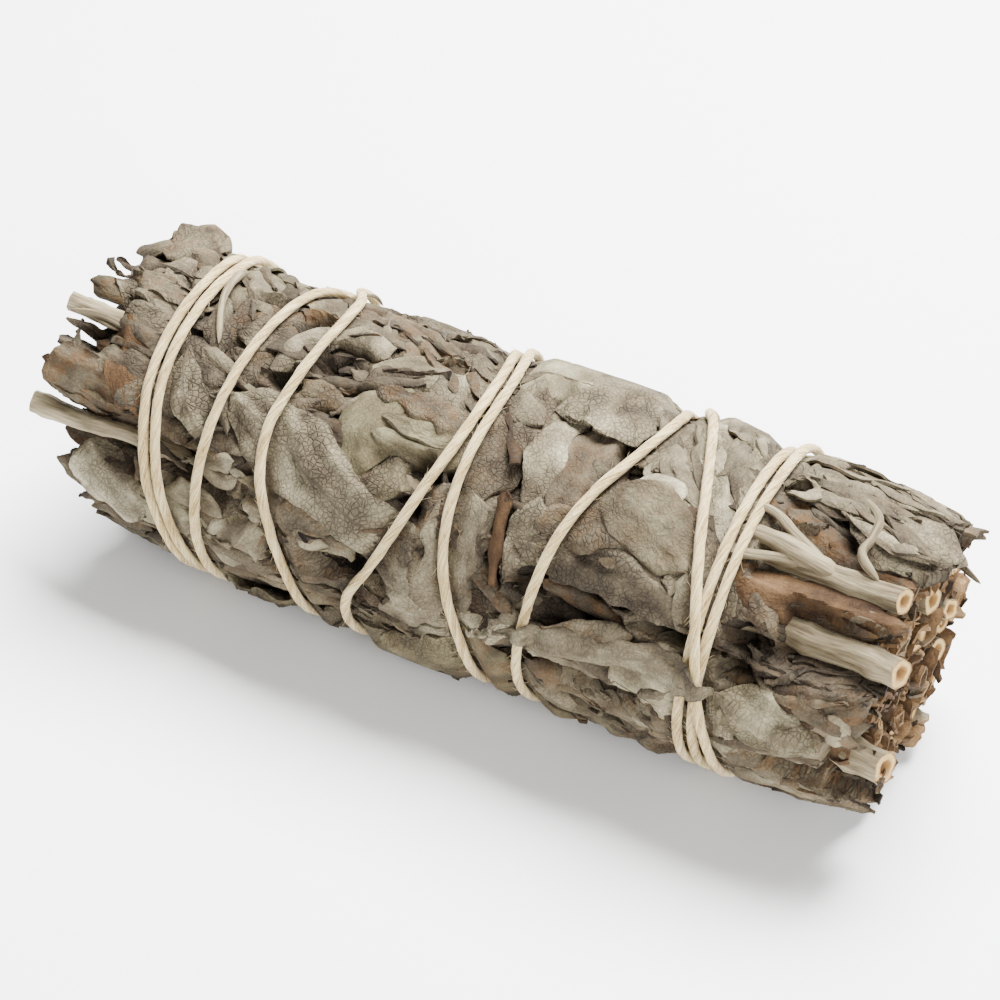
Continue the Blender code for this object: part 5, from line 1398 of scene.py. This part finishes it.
def sage_leaf():
    """Dried white sage: picked green, hung to dry, felted on both sides."""
    material, tree, shader = new_material("dried white sage leaf")
    place = node(tree, "Attribute", output="Vector", attribute_name="place")
    marks = {name: node(tree, "Attribute", output="Fac", attribute_name=name) for name in LAYERS}

    # the net of veins, bent a little so that none of its lines is straight
    shift = node(tree, "TexNoise", {"Vector": place, "Scale": 0.6, "Detail": 1.0}, output="Color")
    shift = node(tree, "VectorMath", shift, (0.5, 0.5, 0.5), operation="SUBTRACT")
    shift = node(tree, "VectorMath", shift, (0.8, 0.8, 0.0), operation="MULTIPLY")
    wavy = node(tree, "VectorMath", place, shift, operation="ADD")
    borders = {"feature": "DISTANCE_TO_EDGE", "voronoi_dimensions": "2D"}
    net = node(tree, "TexVoronoi", {"Vector": wavy, "Scale": 1 / NET_CELL}, output="Distance", **borders)
    cells = node(tree, "MapRange", net, 0.0, 0.2, 1.0, 0.0, **SOFT)
    along_leaf = node(tree, "SeparateXYZ", wavy, output="X")
    away = node(tree, "Math", along_leaf.node.outputs["Y"], operation="ABSOLUTE")
    slanted = node(tree, "Math", away, SIDE_VEIN_SLANT, operation="MULTIPLY")
    feather = node(tree, "Math", along_leaf, slanted, operation="SUBTRACT")
    feather = node(tree, "Math", feather, SIDE_VEINS / 2, operation="PINGPONG")
    side_vein = node(tree, "MapRange", feather, 0.04, 0.17, 1.0, 0.0, **SOFT)
    middle_vein = node(tree, "MapRange", away, 0.10, 0.26, 1.0, 0.0, **SOFT)
    veins = node(tree, "Math", cells, 0.75, operation="MULTIPLY")
    for vein, weight in ((side_vein, 0.8), (middle_vein, 0.6)):
        weighted = node(tree, "Math", vein, weight, operation="MULTIPLY")
        veins = node(tree, "Math", veins, weighted, operation="MAXIMUM")
    patches = node(tree, "TexNoise", {"Vector": place, "Scale": 0.25, "Detail": 4.0, "Roughness": 0.6})
    strength = node(tree, "MapRange", patches, 0.3, 0.65, 1.0, 0.5, **SOFT)
    strength = node(tree, "Math", marks["net"], strength, operation="MULTIPLY")
    veins = node(tree, "Math", veins, strength, operation="MULTIPLY")

    # the tone: mottled, speckled by the felt, darker in the veins and at the rim, and darkened by painted shade in
    # creases and deep in the bundle
    felt = node(tree, "TexNoise", {"Vector": place, "Scale": 4.5, "Detail": 3.0, "Roughness": 0.7})
    mottled = node(tree, "MapRange", patches, 0.25, 0.75, -0.12, 0.12, **SOFT)
    hairs = node(tree, "Math", felt, 0.5, operation="SUBTRACT")
    hairs = node(tree, "Math", hairs, 0.36, operation="MULTIPLY")
    tone = node(tree, "Math", marks["tone"], mottled, operation="ADD")
    tone = node(tree, "Math", tone, hairs, operation="ADD")
    # the veins darken the tone by their own brown; the crease and depth marks darken it as painted shade
    for darker, weight in ((veins, 0.24), (marks["hollow"], 0.16), (marks["deep"], 0.27)):
        weighted = node(tree, "Math", darker, weight, operation="MULTIPLY")
        tone = node(tree, "Math", tone, weighted, operation="SUBTRACT")
    rim = node(tree, "MapRange", marks["rim"], 0.75, 1.0, 0.0, 0.1, **SOFT)
    tone = node(tree, "Math", tone, rim, operation="SUBTRACT", use_clamp=True)
    grey = (
        (0.0, "120D09"), (0.16, "251F18"), (0.35, "3A332A"), (0.53, "51493B"), (0.67, "655D4C"), (0.84, "89816D"),
        (1.0, "BEB79F"),
    )
    colour = node(tree, "ValToRGB", tone, stops=grey)

    # what is left of the green, and the brown that it dries to
    green = node(tree, "Math", marks["green"], 0.5, operation="MULTIPLY")
    tint = {SHARE: 1.0, FIRST: colour, SECOND: hex_colour("E2EAC4")}
    tinted = node(tree, "Mix", tint, output=MIXED, data_type="RGBA", blend_type="MULTIPLY")
    colour = node(tree, "Mix", {SHARE: green, FIRST: colour, SECOND: tinted}, output=MIXED, data_type="RGBA")
    spots = node(tree, "TexNoise", {"Vector": wavy, "Scale": 0.4, "Detail": 3.0, "Roughness": 0.65})
    spots = node(tree, "MapRange", spots, 0.38, 0.68, 0.0, 1.0, **SOFT)
    rust = node(tree, "Math", spots, marks["rust"], operation="MULTIPLY")
    all_over = node(tree, "MapRange", marks["rust"], 1.0, 2.0, 0.0, 1.0, **SOFT)
    rust = node(tree, "Math", rust, all_over, operation="ADD", use_clamp=True)
    browns = ((0.0, "0D0804"), (0.2, "281B11"), (0.43, "443220"), (0.66, "5F4830"), (0.86, "7E6546"), (1.0, "A38A66"))
    brown = node(tree, "ValToRGB", tone, stops=browns)
    colour = node(tree, "Mix", {SHARE: rust, FIRST: colour, SECOND: brown}, output=MIXED, data_type="RGBA")

    # the relief: felt on top, with the veins and the finest creases sunk into it
    stretched = node(tree, "VectorMath", wavy, (0.6, 1.2, 1.0), operation="MULTIPLY")
    crinkle = node(tree, "TexNoise", {"Vector": stretched, "Scale": 0.7, "Detail": 1.5, "Roughness": 0.5})
    crinkle = node(tree, "Math", crinkle, 0.5, operation="SUBTRACT")
    crinkle = node(tree, "Math", crinkle, operation="ABSOLUTE")
    height = node(tree, "Math", felt, 0.09, operation="MULTIPLY")
    for lower, depth in ((veins, 0.12), (crinkle, 0.5)):
        weighted = node(tree, "Math", lower, depth, operation="MULTIPLY")
        height = node(tree, "Math", height, weighted, operation="SUBTRACT")
    matt_finish(tree, shader, colour, 0.9, 0.15, height, MM)
    return material


# %% [markdown]
# ### Stem and string
# The bark dried to a pale straw grey with fine lengthwise wrinkles. A cut shows rings: bark, cream wood, an
# orange-brown band and the darker pith. The string is unbleached cotton, matt, and its fibres lie along its
# yarns, so its noise is stretched along them.

# %% Stem and string materials
def sage_stem():
    """Woody sage stem, dried with its bark on and cut with scissors."""
    material, tree, shader = new_material("sage stem bark and cut wood")
    place = node(tree, "Attribute", output="Vector", attribute_name="place")
    cut, tone = (node(tree, "Attribute", output="Fac", attribute_name=name) for name in STEM_LAYERS)

    # the bark: fine wrinkles along the stem, and slower pale and dark patches
    stretched = node(tree, "VectorMath", place, (0.12, 2.6, 2.6), operation="MULTIPLY")
    grain = node(tree, "TexNoise", {"Vector": stretched, "Scale": 1.3, "Detail": 5.0, "Roughness": 0.7})
    slow = node(tree, "VectorMath", place, (0.16, 0.9, 0.9), operation="MULTIPLY")
    patches = node(tree, "TexNoise", {"Vector": slow, "Scale": 1.0, "Detail": 3.0})
    shade = node(tree, "Math", tone, 0.5, operation="MULTIPLY")
    wrinkled = node(tree, "MapRange", grain, 0.25, 0.75, 0.06, 0.46, **SOFT)
    shade = node(tree, "Math", shade, wrinkled, operation="ADD")
    patched = node(tree, "MapRange", patches, 0.3, 0.7, -0.2, 0.12, **SOFT)
    shade = node(tree, "Math", shade, patched, operation="ADD", use_clamp=True)
    straw = ((0.0, "241B10"), (0.25, "4C402D"), (0.5, "746850"), (0.75, "978B70"), (1.0, "BBB093"))
    bark = node(tree, "ValToRGB", shade, stops=straw)

    # the cut face: rings from the pith at 0 to the bark at 1, with frayed borders
    fibres = node(tree, "TexNoise", {"Vector": place, "Scale": 9.0, "Detail": 2.0})
    frayed = node(tree, "MapRange", fibres, 0.2, 0.8, -0.06, 0.06, **SOFT)
    ring = node(tree, "Math", cut, frayed, operation="ADD")
    growth = (
        (0.0, "4E3218"), (0.3, "72502A"), (0.46, "8A6838"), (0.54, "A88A54"), (0.76, "B79A66"), (0.88, "86602F"),
        (0.95, "6A5A42"),
    )
    wood = node(tree, "ValToRGB", ring, stops=growth)
    outside = node(tree, "MapRange", cut, 0.93, 0.97, 0.0, 1.0, **SOFT)
    colour = node(tree, "Mix", {SHARE: outside, FIRST: wood, SECOND: bark}, output=MIXED, data_type="RGBA")
    matt_finish(tree, shader, colour, 0.82, 0.3, grain, 0.16 * MM)
    return material


def cotton_string():
    """Unbleached cotton: three soft yarns, loosely twisted."""
    material, tree, shader = new_material("unbleached cotton string")
    place = node(tree, "Attribute", output="Vector", attribute_name="place")
    lobe = node(tree, "Attribute", output="Fac", attribute_name="cut")  # 1 on top of a yarn, 0 between two
    stretched = node(tree, "VectorMath", place, (0.16, 1.6, 1.6), operation="MULTIPLY")
    fibre = node(tree, "TexNoise", {"Vector": stretched, "Scale": 2.4, "Detail": 4.0, "Roughness": 0.7})
    patches = node(tree, "TexNoise", {"Vector": place, "Scale": 0.16, "Detail": 2.0})
    shade = node(tree, "MapRange", fibre, 0.25, 0.75, -0.08, 0.72, **SOFT)
    # painted shade: lighter on the top of each yarn, darker in the grooves between the yarns
    painted_yarn_shade = node(tree, "Math", lobe, 0.24, operation="MULTIPLY")
    shade = node(tree, "Math", shade, painted_yarn_shade, operation="ADD")
    patched = node(tree, "MapRange", patches, 0.3, 0.7, -0.1, 0.1, **SOFT)
    shade = node(tree, "Math", shade, patched, operation="ADD", use_clamp=True)
    cream = ((0.0, "6E5833"), (0.3, "A88C58"), (0.52, "CBB27A"), (0.75, "E0CC9A"), (1.0, "EFE1BC"))
    colour = node(tree, "ValToRGB", shade, stops=cream)
    shader.inputs["Sheen Weight"].default_value = 0.25
    shader.inputs["Sheen Roughness"].default_value = 0.5
    matt_finish(tree, shader, colour, 0.9, 0.2, fibre, 0.3 * MM)
    return material


LEAF, STEM, COTTON = sage_leaf(), sage_stem(), cotton_string()
print("materials:", [m.name for m in (LEAF, STEM, COTTON)])

# %% [markdown]
# ## Pieces
# Each mesh becomes one piece that rides on the body, hides the nodes of the solid model that it stands for,
# and gets its material. The sheets get their thickness last, towards the inside of the bundle, so that the
# surface that was laid is the surface that is seen.

# %% Make the pieces
END_THICKNESS = 0.35  # mm, of the crushed leaf ends
CREASE = math.radians(50)  # edges sharper than this stay crisp


def thickened(made, thickness):
    """The sheets of a piece as closed leaves: the modifier's result becomes the mesh."""
    solid = made.modifiers.new("thickness", "SOLIDIFY")
    solid.thickness = thickness * MM
    solid.offset = -1.0
    depsgraph = bpy.context.evaluated_depsgraph_get()
    sheets = made.data
    thick = made.evaluated_get(depsgraph)
    made.data = bpy.data.meshes.new_from_object(thick, preserve_all_data_layers=True, depsgraph=depsgraph)
    made.modifiers.clear()
    bpy.data.meshes.remove(sheets)
    made.data.name = made.name


def piece(name, shape, material, nodes, thickness=0.0):
    """One piece from a finished shape: thick, above the table, and with crisp edges."""
    mesh = bpy.data.meshes.new(name + "_sheets")
    shape.to_mesh(mesh)
    shape.free()
    mesh.materials.append(material)
    made = bpy.data.objects.new(name, mesh)
    bpy.context.scene.collection.objects.link(made)
    if thickness:
        thickened(made, thickness)
    places = np.empty(3 * len(made.data.vertices))
    made.data.vertices.foreach_get("co", places)
    places[2::3] = np.maximum(places[2::3], 0.02 * MM)
    made.data.vertices.foreach_set("co", places)
    made.data.shade_smooth()
    made.data.set_sharp_from_angle(angle=CREASE)
    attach(made, "root")
    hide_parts(*nodes)
    return made


packed = {"inner_leaves": inner, "leaves_under": under}
packed.update({"near_leaves_" + side: shape for side, shape in near.items()})
packed["far_leaves"] = far
pieces = [piece(name, shape, LEAF, ["leaf_bundle"], LEAF_THICKNESS) for name, shape in packed.items()]
pieces.append(piece("leaf_ends", ends, LEAF, ["leaf_bundle"], END_THICKNESS))
pieces.append(piece("twigs", twigs, STEM, ["leaf_bundle"]))
pieces.append(piece("cotton_string", string_shape, COTTON, ["string"]))
for number, shape in enumerate(outer_shapes, 1):
    node_name = "outer_leaf_%02d" % number
    pieces.append(piece("large_leaf_%02d" % number, shape, LEAF, [node_name], LEAF_THICKNESS))
for number, shape in enumerate(stems, 1):
    pieces.append(piece("cut_stem_%02d" % number, shape, STEM, ["stem_%02d" % number]))

total = 0
for made in pieces:
    triangles = sum(len(face.vertices) - 2 for face in made.data.polygons)
    total += triangles
    if triangles > 20000:
        print("%s: %d triangles" % (made.name, triangles))
print("pieces: %d, %d triangles in all" % (len(pieces), total))

# %% [markdown]
# ## Floor, light and camera
# The picture was taken on a white sweep under a large soft light from above and behind, which leaves a soft
# grey shadow in front of the bundle. A weaker one at the right front opens up the cut end. The camera looks
# down at 42 degrees, from 29 degrees round to the right.

# %% Floor
floor_shape = bmesh.new()
bmesh.ops.create_grid(floor_shape, x_segments=4, y_segments=4, size=1.5)
floor_mesh = bpy.data.meshes.new("floor")
floor_shape.to_mesh(floor_mesh)
floor_shape.free()
floor = bpy.data.objects.new("floor", floor_mesh)
bpy.context.scene.collection.objects.link(floor)
floor_material, _, floor_shader = new_material("white paper sweep")
floor_shader.inputs["Base Color"].default_value = hex_colour("FAFAFA")
floor_shader.inputs["Roughness"].default_value = 1.0
floor_shader.inputs["Specular IOR Level"].default_value = 0.0
floor_mesh.materials.append(floor_material)


# %% Lights
MIDDLE = Vector((0.0, 0.0, AXIS_HEIGHT * MM))


def area_light(name, where, size, watts):
    """A square soft white light that faces the middle of the bundle."""
    data = bpy.data.lights.new(name, "AREA")
    data.shape = "SQUARE"
    data.size = size
    data.energy = watts
    lamp = bpy.data.objects.new(name, data)
    lamp.location = where
    lamp.rotation_mode = "QUATERNION"
    lamp.rotation_quaternion = (MIDDLE - Vector(where)).to_track_quat("-Z", "Y")
    bpy.context.scene.collection.objects.link(lamp)


area_light("key_above_behind", (0.04, 0.24, 0.52), 0.36, 25.0)
area_light("fill_front_right", (0.50, -0.34, 0.30), 0.4, 6.0)
world = bpy.data.worlds.new("white_room")
world.use_nodes = True
room = world.node_tree.nodes["Background"]
room.inputs["Color"].default_value = hex_colour("FFFFFF")
room.inputs["Strength"].default_value = 0.36
bpy.context.scene.world = world

# %% Camera
AZIMUTH, ELEVATION, DISTANCE = math.radians(29.0), math.radians(42.0), 0.38
level_reach = math.cos(ELEVATION)
back = Vector((math.sin(AZIMUTH) * level_reach, -math.cos(AZIMUTH) * level_reach, math.sin(ELEVATION)))
camera_data = bpy.data.cameras.new("camera")
camera_data.sensor_width = 36.0
camera_data.lens = 118.8
camera_data.shift_y = 0.015
camera_data.clip_start = 0.01
camera = bpy.data.objects.new("camera", camera_data)
camera.location = MIDDLE + back * DISTANCE
camera.rotation_mode = "QUATERNION"
camera.rotation_quaternion = (-back).to_track_quat("-Z", "Y")
bpy.context.scene.collection.objects.link(camera)
bpy.context.scene.camera = camera
print("camera at", [round(c, 3) for c in camera.location])
